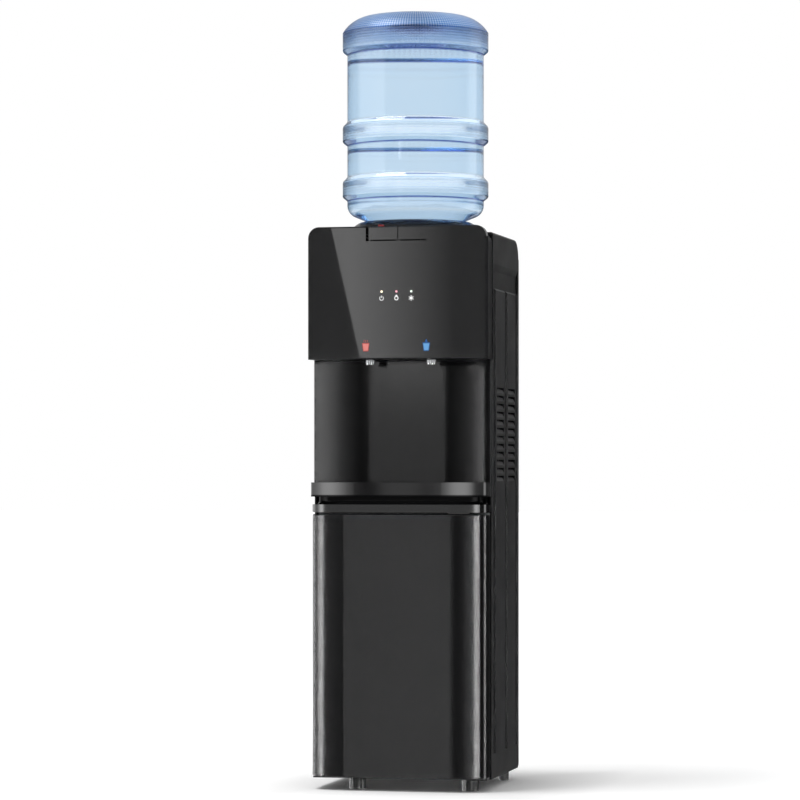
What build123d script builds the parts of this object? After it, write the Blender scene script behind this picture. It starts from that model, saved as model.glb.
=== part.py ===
from build123d import *
import math
import os

# Bottled-water dispenser: a black cabinet with a storage door, two taps over a drip tray,
# and an upturned bottle that sits in a collar on top.
# Millimetres. +Z is up, the front faces -Y, the origin is on the floor under the middle.

# Outer sizes
WIDTH = 325.0  # across the control panel
DEPTH = 330.0  # control panel face to the outermost condenser wire

# Heights, stacked from the floor
FOOT_HEIGHT = 20.5
BASE_SHEET = 2.5
BASE_LIP = 37.0  # upstand along the rear of the base
DOOR_GAP = 1.0  # base sheet to door
DOOR_HEIGHT = 470.0
CHIN_GAP = 3.5  # door to apron
CHIN_HEIGHT = 27.5  # apron under the drip tray
LIP_HEIGHT = 14.0  # apron lip below the finger cove
TRAY_GAP = 0.5  # apron to drip tray
TRAY_HEIGHT = 25.5
ALCOVE_HEIGHT = 246.0  # apron to control panel
PANEL_HEIGHT = 228.0  # alcove to cabinet top
PANEL_RISE = 9.0  # panel and buttons above the cabinet top

# Depths, counted back from the control panel face
DOOR_SETBACK = 1.0
DOOR_THICKNESS = 46.0
DOOR_REAR_GAP = 4.5  # door to cabinet
BASE_REACH = 20.0  # base under the door
PANEL_RETURN = 20.0  # how far the panel wraps back
HOUSING_DEPTH = 45.0
ALCOVE_DEPTH = 88.0  # panel face to alcove back wall
TRAY_SETBACK = 8.0
COVE_DEPTH = 12.0
CONDENSER_SPACE = 15.0  # cabinet back to outermost wire

# Walls and clearances
SHEET = 2.5  # plastic mouldings
PANEL_WALL = 3.0
DOOR_WALL = 3.0
SIDE_WALL = 3.0
SIDE_STEP = 4.0  # depth of the side grooves
TOP_WALL = 6.0
TANK_WALL = 1.2
RUN_FIT = 0.08  # radial play of pins and stems
SLIP = 0.3  # gap between pieces that slide past each other

# Front shapes seen from above: flat middle, gentle bow, tighter corner
DOOR_INSET = 0.5  # door edge inside the overall width
DOOR_BOW = 110.0
DOOR_BOW_ANGLE = 28.0
DOOR_CORNER = 25.0
TRAY_BOW = 620.0
TRAY_BOW_ANGLE = 7.0
TRAY_CORNER = 7.0
GRILLE = 3.0  # grille thickness
SLOT_PITCH = 9.0
SLOT_WIDTH = 4.4
SLOT_FRONT = 20.0  # tray front to the slots
SLOT_BACK = 16.0
SLOT_SPREAD = 164.0
ALCOVE_FLAT = 124.0  # width of the alcove's flat back wall

# Control panel
PANEL_CORNER = 20.0
PANEL_EDGE = 2.5
HOUSING_INSET = 1.5
BUTTON_SPAN = 112.0  # both buttons together
BUTTON_SHOWN = 26.5  # height of the button opening
BUTTON_SETBACK = 4.0
BUTTON_DEPTH = 36.0
BUTTON_SKIRT = 11.5  # hidden below the opening
BUTTON_SEAM = 1.5
BUTTON_LEFT = 4.4  # gap left of the hot button
BUTTON_SIDE = 1.0  # gap right of the cold button
BUTTON_FOOT = 2.6  # gap under the button faces
BUTTON_TRAVEL = 4.5
LOCK_EDGE = -24.5  # right-hand end of the child lock
LOCK_WIDTH = 10.5
LOCK_DEPTH = 8.0
LOCK_RISE = 3.0
LOCK_SUNK = 1.2
LOCK_TRAVEL = 7.0
LENS_SPACING = 27.0
LENS_RADIUS = 2.2
LENS_DROP = 116.5  # lens centre below the panel top
BOARD_HALF = 38.0
BOARD_RISE = 14.0
BOARD_SETBACK = 8.0
BOARD_THICK = 1.6

# Taps
TAP_SPACING = 112.0
TAP_DEPTH = 36.0  # panel face to spout centre
SPOUT_RADIUS = 8.0
SPOUT_DROP = 9.0  # spout tip below the panel
CHAMBER_RADIUS = 12.0
CHAMBER_HEIGHT = 45.0
BARB_RADIUS = 5.0
BARB_LENGTH = 13.0
BARB_RISE = 24.0  # inlet above the panel's lower edge
LEVER_ARM = 10.5
LEVER_RISE = 14.0  # pivot above the valve chamber
STEM_RADIUS = 2.2
ROD_RADIUS = 2.5
PIVOT_RADIUS = 1.5
LEVER_HALF = 8.9  # half width of the lever hub
EAR = 2.5  # thickness of the pivot ears
NOSE = 1.5  # half thickness of the valve levers
CONTACT = 0.4  # free play between button, lever and stem
SPRING_WIRE = 0.5
SPRING_PLAY = 1.6  # rod to spring

# Side panels
BAND_DROP = 56.0  # cabinet top to upper edge of the recessed band
BAND_HEIGHT = 43.0
BAND_SLOPE = 13.0
GROOVE_WIDTH = 23.0
PAD_SHARE = 0.524  # front pad's share of the two raised pads
GROOVE_START = 18.5  # cabinet front edge to first groove
GROOVE_END = 10.0  # last groove to the cabinet back
GROOVE_FOOT = 64.0  # lower end of the grooves
VENT_COUNT = 12
VENT_PITCH = 14.5
VENT_MARGIN = 7.0  # louvre ends inside the rear pad
VENT_LOW = 558.0
VENT_HEIGHT = 9.5
REAR_TOP_RADIUS = 35.0
SIDE_CORNER = 12.0

# Feet: the front left one stands inboard, clear of the door hinge
FOOT_RADIUS = 15.7
REAR_FOOT_RADIUS = 10.0
FOOT_LEFT_INSET = 80.5
FOOT_RIGHT_INSET = 37.5
FOOT_FRONT_INSET = 46.0
REAR_FOOT_INSET = 19.5
REAR_FOOT_FORWARD = 48.0

# Door hinge
HINGE_INSET = 6.5
PIN_RADIUS = 2.5
PIN_LENGTH = 11.0
DOOR_RIM = 4.0
WINDOW_INSET = 15.0  # door edge to its inner face plate
FRAME_BORDER = 25.0
CATCH_INSET = 32.5
CATCH_WIDTH = 40.0
CATCH_DEPTH = 15.0

# Bottle, upside down, heights counted from where its body meets the shoulder
BOTTLE_Y = -5.0
BOTTLE_RISE = 57.0  # cabinet top to that level
BOTTLE_BAND_RADIUS = 133.0
BOTTLE_BODY_RADIUS = 124.5
BOTTLE_WALL = 2.0
NECK_RADIUS = 27.5
NECK_LENGTH = 52.0
SHOULDER_RADIUS = 22.0
SHOULDER_ANGLE = 68.0
RIB_LOW = 8.0
RIB_PITCH = 100.5
RIB_HEIGHT = 43.0
BAND_LOW = 274.0
BAND_TALL = 40.0
CROWN_HEIGHT = 30.0
CROWN_FLAT = 80.0
PUNT_DEPTH = 18.0  # hollow in the bottle's base

# Bottle collar
COLLAR_RADIUS = 118.0
COLLAR_CREST = 92.0  # where the collar's dome is highest
COLLAR_RIM = 84.0  # outer edge of the bottle's seat
COLLAR_OPENING = 100.0  # hole in the lid under the collar
COLLAR_WALL = 3.0
WELL_RADIUS = 45.0
WELL_DEPTH = 69.0
INLET_RADIUS = 10.0  # hole in the cold tank's lid, at the bottom of the well

# Water tanks
COLD_RADIUS = 68.0
COLD_HEIGHT = 89.0
FOAM_GAP = 10.0
FOAM_WALL = 14.0
COIL_TUBE = 3.5
COIL_TURNS = 5
COIL_PITCH = 11.5
HOT_RADIUS = 45.0
HOT_HEIGHT = 150.0
HOT_STAND = 25.0
HOT_X = -75.0
HOT_BACK = 102.5  # tank centre in front of the rear panel
HEATER_RISE = 45.0
HEATER_HEIGHT = 42.0
HOSE_WALL = 1.5
HOSE_BEND = 12.0
FEED_SETBACK = 50.0  # bottle axis to the hot tank's feed stub
COLD_HOSE_RUN = 34.0  # stub to where the cold hose turns for its tap
HOT_HOSE_TURN = 40.0  # bottle axis to where the hot hose turns for its tap

# Cooling unit
COMPRESSOR_RADIUS = 52.0
COMPRESSOR_HEIGHT = 110.0
SEAM_RISE = 48.0  # weld seam round the can
SEAM_HEIGHT = 6.0
COMPRESSOR_X = 10.0
GROMMET_HEIGHT = 12.0
STUD_RADIUS = 3.0
SUCTION_RADIUS = 3.0
LIQUID_RADIUS = 2.0
DRIER_LENGTH = 62.0
DRIER_RADIUS = 8.0
SUCTION_RISE = 38.0  # compressor top to the suction line's level run
DISCHARGE_RISE = 53.0
LINE_BEND = 12.0
LINE_INSET = 34.5  # cabinet side to the rising lines
TUBE_RADIUS = 2.4
WIRE_RADIUS = 0.8
CONDENSER_PASSES = 15
CONDENSER_PITCH = 34.0
CONDENSER_TOP_DROP = 31.0  # control panel's lower edge to top pass
WIRE_SPACING = 11.0
WIRE_COUNT = 21

# Rear fittings
REAR_SLOT_INSET = 35.0  # side panel to the air slots
REAR_OPEN = 225.0  # the back is open below this height
SWITCH_INSET = 92.5
SWITCH_RISE = 109.0
SWITCH_WIDTH = 14.0
SWITCH_HEIGHT = 22.0
SWITCH_TILT = 8.0
AXLE_RADIUS = 1.5
GLAND_INSET = 52.5
GLAND_RISE = 29.0
GLAND_BORE = 4.0
DRAIN_RISE = 15.0
CONTROL_WIDTH = 95.5
CONTROL_DEPTH = 70.0
CONTROL_HEIGHT = 60.0
CONTROL_GAP = 3.4  # tank feed hose to control box

# Storage compartment
LINER_WALL = 2.0
LINER_STEP = 215.0
BAY_DEPTH = 126.5  # liner to the rear edge of the base
LINER_HIGH_DEPTH = 188.0

# Levels that follow from the sizes above
HALF = WIDTH / 2
BASE_TOP = FOOT_HEIGHT + BASE_SHEET
DOOR_Z0 = BASE_TOP + DOOR_GAP
DOOR_Z1 = DOOR_Z0 + DOOR_HEIGHT
CHIN_Z0 = DOOR_Z1 + CHIN_GAP
CHIN_Z1 = CHIN_Z0 + CHIN_HEIGHT
TRAY_Z0 = CHIN_Z1 + TRAY_GAP
TRAY_Z1 = TRAY_Z0 + TRAY_HEIGHT
PANEL_Z0 = CHIN_Z1 + ALCOVE_HEIGHT
BODY_TOP = PANEL_Z0 + PANEL_HEIGHT
PANEL_TOP = BODY_TOP + PANEL_RISE
SIDE_TOP = BODY_TOP - TOP_WALL

FRONT = -DEPTH / 2
DOOR_Y0 = FRONT + DOOR_SETBACK
DOOR_Y1 = DOOR_Y0 + DOOR_THICKNESS
CARCASS_Y0 = DOOR_Y1 + DOOR_REAR_GAP
CARCASS_Y1 = DEPTH / 2 - CONDENSER_SPACE
REAR_IN = CARCASS_Y1 - SHEET
HOT_Y = REAR_IN - HOT_BACK
PANEL_Y1 = FRONT + PANEL_RETURN
HOUSING_Y1 = PANEL_Y1 + HOUSING_DEPTH
ALCOVE_Y1 = FRONT + ALCOVE_DEPTH
SHELF_Y1 = ALCOVE_Y1 + SHEET
TRAY_Y0 = FRONT + TRAY_SETBACK

PAD_SPACE = CARCASS_Y1 - CARCASS_Y0 - GROOVE_START - 3 * GROOVE_WIDTH - GROOVE_END
PAD_FRONT = PAD_SPACE * PAD_SHARE
PAD_REAR = PAD_SPACE - PAD_FRONT
VENT_LENGTH = PAD_REAR - 2 * VENT_MARGIN
SIDE_IN = HALF - SIDE_WALL
RIB_IN = SIDE_IN - SIDE_STEP
DOOR_HALF = HALF - DOOR_INSET
TRAY_HALF = HALF - 1.0
ALCOVE_HALF = HALF - 2.0

TAP_X = TAP_SPACING / 2
TAP_Y = FRONT + TAP_DEPTH
FLOOR_TOP = PANEL_Z0 + SHEET
CHAMBER_Z0 = FLOOR_TOP + 3.0
CHAMBER_Z1 = CHAMBER_Z0 + CHAMBER_HEIGHT
BARB_Z = PANEL_Z0 + BARB_RISE
BARB_Y1 = TAP_Y + CHAMBER_RADIUS + BARB_LENGTH
PIVOT_Y = TAP_Y - LEVER_ARM
PIVOT_Z = CHAMBER_Z1 + LEVER_RISE
ROD_X = BUTTON_SPAN / 2 - BUTTON_LEFT - SHEET - ROD_RADIUS - SPRING_PLAY - SPRING_WIRE - 0.6
ROD_Y = PIVOT_Y - LEVER_ARM

BUTTON_X0 = -BUTTON_SPAN / 2 + BUTTON_LEFT
BUTTON_X1 = BUTTON_SPAN / 2 - BUTTON_SIDE
SEAM_X = (BUTTON_X0 + BUTTON_X1) / 2
BUTTON_Z0 = PANEL_TOP - BUTTON_SHOWN
BUTTON_Y0 = FRONT + BUTTON_SETBACK
BUTTON_Y1 = BUTTON_Y0 + BUTTON_DEPTH
SKIRT_Z0 = BUTTON_Z0 - BUTTON_SKIRT
BUTTON_ROOF = PANEL_TOP - SHEET
SHELF_TOP = SKIRT_Z0 - BUTTON_TRAVEL - 7.5
LENS_Z = PANEL_TOP - LENS_DROP

COLD_TOP = BODY_TOP - WELL_DEPTH - COLLAR_WALL
COLD_Z0 = COLD_TOP - COLD_HEIGHT
FOAM_Z0 = COLD_Z0 - FOAM_WALL
COIL_RADIUS = COLD_RADIUS + COIL_TUBE + 0.7
COIL_Z0 = COLD_Z0 + 10.0
COIL_Z1 = COIL_Z0 + COIL_PITCH * COIL_TURNS
COIL_LEAD = COLD_RADIUS - 4.0
COIL_Y = BOTTLE_Y + COIL_RADIUS
COLD_TAP_STUB = (40.0, BOTTLE_Y - 25.0)
HOT_FEED_STUB = (10.0, BOTTLE_Y + FEED_SETBACK)
DECK_TOP = CHIN_Z0 + SHEET
HOT_Z0 = DECK_TOP + HOT_STAND
HOT_Z1 = HOT_Z0 + HOT_HEIGHT
STUB = 14.0
HOSE_RADIUS = BARB_RADIUS + 0.1 + HOSE_WALL

BASE_Y1 = CARCASS_Y1 - SIDE_CORNER
LINER_Y1 = BASE_Y1 - BAY_DEPTH
COMPRESSOR_Y = (LINER_Y1 + BASE_Y1) / 2
COMPRESSOR_Z0 = BASE_TOP + GROMMET_HEIGHT + SHEET
COMPRESSOR_Z1 = COMPRESSOR_Z0 + COMPRESSOR_HEIGHT
PORT_SPREAD = 25.0
PORT_Z = COMPRESSOR_Z1 + 10.0
LINE_X = HALF - LINE_INSET
LINE_Y = REAR_IN - 29.5
TUBE_Y = DEPTH / 2 - 2 * WIRE_RADIUS - 0.1 - TUBE_RADIUS
TOP_PASS = PANEL_Z0 - CONDENSER_TOP_DROP
LOW_PASS = TOP_PASS - CONDENSER_PITCH * (CONDENSER_PASSES - 1)
PASS_HALF = WIRE_SPACING * (WIRE_COUNT - 1) / 2 + 8.0
RISER_X = PASS_HALF + 17.0
DRAIN_Z = REAR_OPEN + DRAIN_RISE
DRAIN_Y = HOT_Y + HOT_RADIUS + STUB + HOSE_BEND + 0.5
DRAIN_RADIUS = BARB_RADIUS + 1.5
SWITCH_X = HALF - SWITCH_INSET
SWITCH_Z = PANEL_Z0 + SWITCH_RISE
SWITCH_Y = CARCASS_Y1 - 4.0
GLAND_X = HALF - GLAND_INSET
GLAND_Z = PANEL_Z0 + GLAND_RISE


# Small builders

def block(x0, x1, y0, y1, z0, z1):
    """A box between two corners."""
    middle = Pos((x0 + x1) / 2, (y0 + y1) / 2, (z0 + z1) / 2)
    return middle * Box(x1 - x0, y1 - y0, z1 - z0)


def post(x, y, z0, z1, radius):
    """An upright round bar."""
    return Pos(x, y, (z0 + z1) / 2) * Cylinder(radius, z1 - z0)


def bar_x(x0, x1, y, z, radius):
    """A round bar along X."""
    return Pos((x0 + x1) / 2, y, z) * Rot(0, 90, 0) * Cylinder(radius, x1 - x0)


def bar_y(x, y0, y1, z, radius):
    """A round bar along Y."""
    return Pos(x, (y0 + y1) / 2, z) * Rot(90, 0, 0) * Cylinder(radius, y1 - y0)


def raise_plan(face, z0, z1):
    """A plan outline raised from one height to another."""
    return extrude(Pos(0, 0, z0) * face, amount=z1 - z0, dir=(0, 0, 1))


def across(points, x0, x1):
    """A (Y, Z) polygon carried along X."""
    outline = Polyline(*[(x0, y, z) for y, z in points], close=True)
    return extrude(make_face(outline), amount=x1 - x0, dir=(1, 0, 0))


def spin(edges, x, y):
    """A section in the XZ plane turned about the upright axis through (x, y)."""
    return Pos(x, y, 0) * revolve(make_face(edges), Axis.Z)


def tube(path, radius, bore=0.0):
    """A round tube along a path."""
    section = Circle(radius)
    if bore > 0:
        section = section - Circle(bore)
    return sweep(path.location_at(0) * section, path=path)


def run(points, bend):
    """Straight runs joined by round bends."""
    return FilletPolyline(*points, radius=bend)


def coil_path(x, y, radius, z0, pitch, turns, lead=0.0):
    """A helix drawn with tangent arcs, with optional straight leads at both ends."""
    steps = turns * 4
    slope = pitch / (2 * math.pi * radius)
    points = []
    tangents = []
    for step in range(steps + 1):
        angle = math.radians(90 - 90 * step)
        point = Vector(math.cos(angle), math.sin(angle), 0) * radius
        points.append(point + Vector(x, y, z0 + pitch * step / 4))
        tangents.append(Vector(math.sin(angle), -math.cos(angle), slope).normalized())
    edges = []
    if lead > 0:
        edges.append(Line(points[0] - tangents[0] * lead, points[0]))
    for start, end, leave, arrive in zip(points, points[1:], tangents, tangents[1:]):
        edges.extend(two_arcs(start, leave, end, arrive))
    if lead > 0:
        edges.append(Line(points[-1], points[-1] + tangents[-1] * lead))
    return Wire(edges), points


def two_arcs(start, leave, end, arrive):
    """Two arcs that meet tangentially between given end directions."""
    chord = end - start
    both = leave + arrive
    a = both.dot(both) - 4
    b = -2 * chord.dot(both)
    c = chord.dot(chord)
    reach = (-b - math.sqrt(b * b - 4 * a * c)) / (2 * a)
    near = start + leave * reach
    far = end - arrive * reach
    joint = (near + far) / 2
    along = (far - near).normalized()
    return [TangentArc(start, joint, tangent=leave), TangentArc(joint, end, tangent=along)]


def bowed_outline(half, front, back, bow, angle, corner, rear):
    """A plan outline with a flat middle, bowed front corners and rounded rear corners."""
    turn = math.radians(angle)
    flat = half - (bow - corner) * math.sin(turn) - corner
    corner_y = front + bow * (1 - math.cos(turn)) + corner * math.cos(turn)
    middle = (turn + math.pi / 2) / 2

    def bow_point(side, part):
        x = flat + bow * math.sin(turn * part)
        return (side * x, front + bow * (1 - math.cos(turn * part)))

    def corner_point(side, spot):
        x = half - corner + corner * math.sin(spot)
        return (side * x, corner_y - corner * math.cos(spot))

    def rear_point(side, spot):
        x = half - rear + rear * math.cos(spot)
        return (side * x, back - rear + rear * math.sin(spot))

    edges = [Line((-flat, front), (flat, front))]
    edges.append(Line(rear_point(-1, math.pi / 2), rear_point(1, math.pi / 2)))
    for side in (-1, 1):
        edges.append(ThreePointArc(bow_point(side, 0), bow_point(side, 0.5), bow_point(side, 1)))
        edges.append(
            ThreePointArc(corner_point(side, turn), corner_point(side, middle), (side * half, corner_y))
        )
        edges.append(Line((side * half, corner_y), rear_point(side, 0)))
        edges.append(
            ThreePointArc(rear_point(side, 0), rear_point(side, math.pi / 4), rear_point(side, math.pi / 2))
        )
    return make_face(edges)


def panel_outline(half, z0, z1, corner):
    """The control panel seen from the front: square below, round corners on top."""
    edges = [
        Line((-half, z0), (half, z0)),
        Line((half, z0), (half, z1 - corner)),
        RadiusArc((half, z1 - corner), (half - corner, z1), -corner),
        Line((half - corner, z1), (corner - half, z1)),
        RadiusArc((corner - half, z1), (-half, z1 - corner), -corner),
        Line((-half, z1 - corner), (-half, z0)),
    ]
    return Plane.XZ * make_face(edges)


def backward(face, y0, y1):
    """A front outline carried back from one depth to another."""
    return extrude(Pos(0, y0, 0) * face, amount=y1 - y0, dir=(0, 1, 0))


# Cabinet

def grommet_spots():
    """Where the compressor stands on the base."""
    return [
        (COMPRESSOR_X + side * (COMPRESSOR_RADIUS + 10), COMPRESSOR_Y + way * (COMPRESSOR_RADIUS - 10))
        for side in (-1, 1)
        for way in (-1, 1)
    ]


def base_plate():
    plate = block(-SIDE_IN, SIDE_IN, DOOR_Y1 - BASE_REACH, BASE_Y1, FOOT_HEIGHT, BASE_TOP)
    plate += block(-SIDE_IN, SIDE_IN, BASE_Y1 - SHEET, BASE_Y1, BASE_TOP, BASE_TOP + BASE_LIP)
    for x, y in grommet_spots():
        plate += post(x, y, BASE_TOP, BASE_TOP + GROMMET_HEIGHT + 7.0, STUD_RADIUS)
    return plate


def feet():
    front_y = FRONT + FOOT_FRONT_INSET
    rear_y = CARCASS_Y1 - REAR_FOOT_FORWARD
    spots = [
        (-HALF + FOOT_LEFT_INSET, front_y, FOOT_RADIUS),
        (HALF - FOOT_RIGHT_INSET, front_y, FOOT_RADIUS),
        (-HALF + REAR_FOOT_INSET, rear_y, REAR_FOOT_RADIUS),
        (HALF - REAR_FOOT_INSET, rear_y, REAR_FOOT_RADIUS),
    ]
    made = []
    for x, y, radius in spots:
        foot = Cone(radius - 0.8, radius, FOOT_HEIGHT)
        foot = chamfer(foot.edges().group_by(Axis.Z)[0], 1.0)
        made.append(Pos(x, y, FOOT_HEIGHT / 2) * foot)
    return made


def groove_starts():
    """Front edge of each upright groove in the side panels."""
    first = CARCASS_Y0 + GROOVE_START
    second = first + GROOVE_WIDTH + PAD_FRONT
    third = second + GROOVE_WIDTH + PAD_REAR
    return [first, second, third]


def side_outline(x0, x1):
    """The cabinet side, with a notch for the control panel housing."""
    inner = REAR_TOP_RADIUS - TOP_WALL
    low = FOOT_HEIGHT
    edges = [
        Line((CARCASS_Y0, low), (CARCASS_Y0, PANEL_Z0)),
        Line((CARCASS_Y0, PANEL_Z0), (HOUSING_Y1, PANEL_Z0)),
        Line((HOUSING_Y1, PANEL_Z0), (HOUSING_Y1, SIDE_TOP)),
        Line((HOUSING_Y1, SIDE_TOP), (CARCASS_Y1 - REAR_TOP_RADIUS, SIDE_TOP)),
        RadiusArc(
            (CARCASS_Y1 - REAR_TOP_RADIUS, SIDE_TOP),
            (CARCASS_Y1 - TOP_WALL, SIDE_TOP - inner),
            inner,
        ),
        Line((CARCASS_Y1 - TOP_WALL, SIDE_TOP - inner), (CARCASS_Y1, SIDE_TOP - inner)),
        Line((CARCASS_Y1, SIDE_TOP - inner), (CARCASS_Y1, low + SIDE_CORNER)),
        RadiusArc((CARCASS_Y1, low + SIDE_CORNER), (CARCASS_Y1 - SIDE_CORNER, low), SIDE_CORNER),
        Line((CARCASS_Y1 - SIDE_CORNER, low), (CARCASS_Y0, low)),
    ]
    face = Plane.YZ * make_face(edges)
    return extrude(Pos(x0, 0, 0) * face, amount=x1 - x0, dir=(1, 0, 0))


def side_panel():
    """The right-hand side: a sheet with a recessed band, three grooves and two rows of louvres."""
    starts = groove_starts()
    band_top = BODY_TOP - BAND_DROP
    band_low = band_top - BAND_HEIGHT
    back = starts[-1] + GROOVE_WIDTH
    floor = HALF - SIDE_STEP
    panel = side_outline(SIDE_IN, HALF)
    margin = SIDE_WALL
    low = band_low - 2 * margin
    panel += block(RIB_IN, SIDE_IN, starts[0] - margin, back + margin, low, band_top + margin)
    for start in starts:
        panel += block(
            RIB_IN, SIDE_IN, start - margin, start + GROOVE_WIDTH + margin, GROOVE_FOOT - margin, band_low
        )
    band = Polyline(
        (HALF, starts[0], band_top),
        (floor, starts[0], band_top - BAND_SLOPE),
        (floor, starts[0], band_low),
        (HALF, starts[0], band_low - SIDE_STEP),
        close=True,
    )
    panel -= extrude(make_face(band), amount=back - starts[0], dir=(0, 1, 0))
    for start in starts:
        groove = Polyline(
            (HALF, start),
            (floor, start + SIDE_STEP),
            (floor, start + GROOVE_WIDTH - SIDE_STEP),
            (HALF, start + GROOVE_WIDTH),
            close=True,
        )
        panel -= raise_plan(make_face(groove), GROOVE_FOOT, band_low)
    pads = [starts[0] + GROOVE_WIDTH + PAD_FRONT / 2, starts[1] + GROOVE_WIDTH + PAD_REAR / 2]
    vents = []
    for row in range(VENT_COUNT):
        z = VENT_LOW + VENT_PITCH * row
        for middle in pads:
            wedge = Polyline(
                (HALF, middle - VENT_LENGTH / 2, z + VENT_HEIGHT / 2),
                (SIDE_IN - 1.5, middle - VENT_LENGTH / 2, z + VENT_HEIGHT / 2),
                (HALF, middle - VENT_LENGTH / 2, z - VENT_HEIGHT / 2),
                close=True,
            )
            vents.append(extrude(make_face(wedge), amount=VENT_LENGTH, dir=(0, 1, 0)))
    return panel - vents


def rear_panel():
    """The lower back, with four saddles that hold the condenser off it."""
    panel = block(-SIDE_IN, SIDE_IN, REAR_IN, CARCASS_Y1, REAR_OPEN, PANEL_Z0)
    panel -= bar_y(HOT_X, REAR_IN - 1, CARCASS_Y1 + 1, DRAIN_Z, DRAIN_RADIUS + 0.5)
    for side in (-1, 1):
        for drop in (1, CONDENSER_PASSES - 2):
            x = side * WIRE_SPACING * (WIRE_COUNT // 2 - 1.5)
            z = TOP_PASS - CONDENSER_PITCH * drop
            saddle = block(x - 3.5, x + 3.5, REAR_IN, TUBE_Y + TUBE_RADIUS + 1.5, z - 6.0, z + 6.0)
            panel += saddle - bar_x(x - 4.0, x + 4.0, TUBE_Y, z, TUBE_RADIUS + 0.2)
    return panel


def rear_top_cover():
    top = BODY_TOP - REAR_TOP_RADIUS
    cover = block(-SIDE_IN, SIDE_IN, REAR_IN, CARCASS_Y1, PANEL_Z0, top)
    wide = 2 * SWITCH_WIDTH + 3 * SHEET + 0.4
    tall = SWITCH_HEIGHT + 2 * SHEET + 0.4
    cover -= block(
        SWITCH_X - wide / 2,
        SWITCH_X + wide / 2,
        REAR_IN - 1,
        CARCASS_Y1 + 1,
        SWITCH_Z - tall / 2,
        SWITCH_Z + tall / 2,
    )
    cover -= bar_y(GLAND_X, REAR_IN - 1, CARCASS_Y1 + 1, GLAND_Z, GLAND_BORE + 3.2)
    slots = [
        block(-SIDE_IN + REAR_SLOT_INSET, 0.0, REAR_IN - 1, CARCASS_Y1 + 1, z, z + 5.0)
        for z in [PANEL_Z0 + 50.0 + 14.0 * row for row in range(8)]
    ]
    return cover - slots


def top_cover():
    """A lid that rolls over the back edge, with an opening for the bottle collar."""
    low = BODY_TOP - REAR_TOP_RADIUS
    edges = [
        Line((HOUSING_Y1, low), (HOUSING_Y1, BODY_TOP)),
        Line((HOUSING_Y1, BODY_TOP), (CARCASS_Y1 - REAR_TOP_RADIUS, BODY_TOP)),
        RadiusArc((CARCASS_Y1 - REAR_TOP_RADIUS, BODY_TOP), (CARCASS_Y1, low), REAR_TOP_RADIUS),
        Line((CARCASS_Y1, low), (HOUSING_Y1, low)),
    ]
    outer = extrude(Pos(-HALF, 0, 0) * (Plane.YZ * make_face(edges)), amount=WIDTH, dir=(1, 0, 0))
    ends = [
        edge
        for edge in outer.edges()
        if abs(abs(edge.center().X) - HALF) < 0.01
        and edge.center().Z > low + 1
        and edge.center().Y > HOUSING_Y1 + 1
    ]
    outer = fillet(ends, 4.0)
    lid = outer - side_outline(-HALF - 1, HALF + 1)
    return lid - post(0, BOTTLE_Y, SIDE_TOP - 1, BODY_TOP + 1, COLLAR_OPENING)


def front_housing():
    """The shell behind the control panel, with a flange that closes the panel's back."""
    half = HALF - HOUSING_INSET
    top = BODY_TOP - HOUSING_INSET
    corner = PANEL_CORNER - HOUSING_INSET
    housing = backward(panel_outline(half, PANEL_Z0, top, corner), PANEL_Y1, HOUSING_Y1)
    flange = panel_outline(half, PANEL_Z0, PANEL_TOP - HOUSING_INSET, corner)
    housing += backward(flange, PANEL_Y1, PANEL_Y1 + SHEET)
    hollow = panel_outline(half - SHEET, FLOOR_TOP, top - SHEET, corner - SHEET)
    housing -= backward(hollow, PANEL_Y1 - 1, HOUSING_Y1 + 1)
    housing += block(-RIB_IN + 4.0, RIB_IN - 4.0, HOUSING_Y1, SHELF_Y1, PANEL_Z0, FLOOR_TOP)
    housing += block(SHEET - half, half - SHEET, ROD_Y - 8.0, BUTTON_Y1, SHELF_TOP - SHEET, SHELF_TOP)
    span = BUTTON_SPAN / 2
    housing -= block(-span, span, PANEL_Y1 - 1, BUTTON_Y1 + SLIP + 0.5, top - 2 * SHEET, PANEL_TOP)
    for side in (-1, 1):
        housing -= post(side * TAP_X, TAP_Y, PANEL_Z0 - 1, FLOOR_TOP + 1, SPOUT_RADIUS + SLIP)
        housing -= post(side * ROD_X, ROD_Y, SHELF_TOP - 5, SHELF_TOP + 1, ROD_RADIUS + SLIP)
    return housing


def alcove_arc():
    """Radius and centre of the alcove's curved cheeks."""
    run_x = ALCOVE_HALF - ALCOVE_FLAT / 2
    run_y = ALCOVE_Y1 - DOOR_Y1
    radius = (run_x**2 + run_y**2) / (2 * run_y)
    return radius, ALCOVE_Y1 - radius


def cheek(radius, centre_y, side, part):
    """A point on one curved cheek, from the flat back wall (0) to the front edge (1)."""
    turn = 2 * math.atan2(ALCOVE_Y1 - DOOR_Y1, ALCOVE_HALF - ALCOVE_FLAT / 2)
    x = ALCOVE_FLAT / 2 + radius * math.sin(turn * part)
    return (side * x, centre_y + radius * math.cos(turn * part))


def alcove():
    """The curved back wall behind the taps, with a bead along each front edge."""
    radius, centre_y = alcove_arc()
    edges = []
    for grow in (0.0, SHEET):
        big = radius + grow
        left = [cheek(big, centre_y, -1, part) for part in (0, 0.5, 1)]
        right = [cheek(big, centre_y, 1, part) for part in (0, 0.5, 1)]
        edges.append(ThreePointArc(*left))
        edges.append(ThreePointArc(*right))
        edges.append(Line(left[0], right[0]))
    for side in (-1, 1):
        edges.append(Line(cheek(radius, centre_y, side, 1), cheek(radius + SHEET, centre_y, side, 1)))
    wall = raise_plan(make_face(edges), CHIN_Z1, PANEL_Z0)
    for side in (-1, 1):
        x0, x1 = sorted((side * (ALCOVE_HALF + 0.2), side * (HALF - 0.2)))
        bead = block(x0, x1, DOOR_Y1 - 1.0, CARCASS_Y0, CHIN_Z1, PANEL_Z0)
        front = bead.edges().filter_by(Axis.Z).group_by(Axis.Y)[0]
        wall += fillet(front, 0.6)
    return wall


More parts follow.
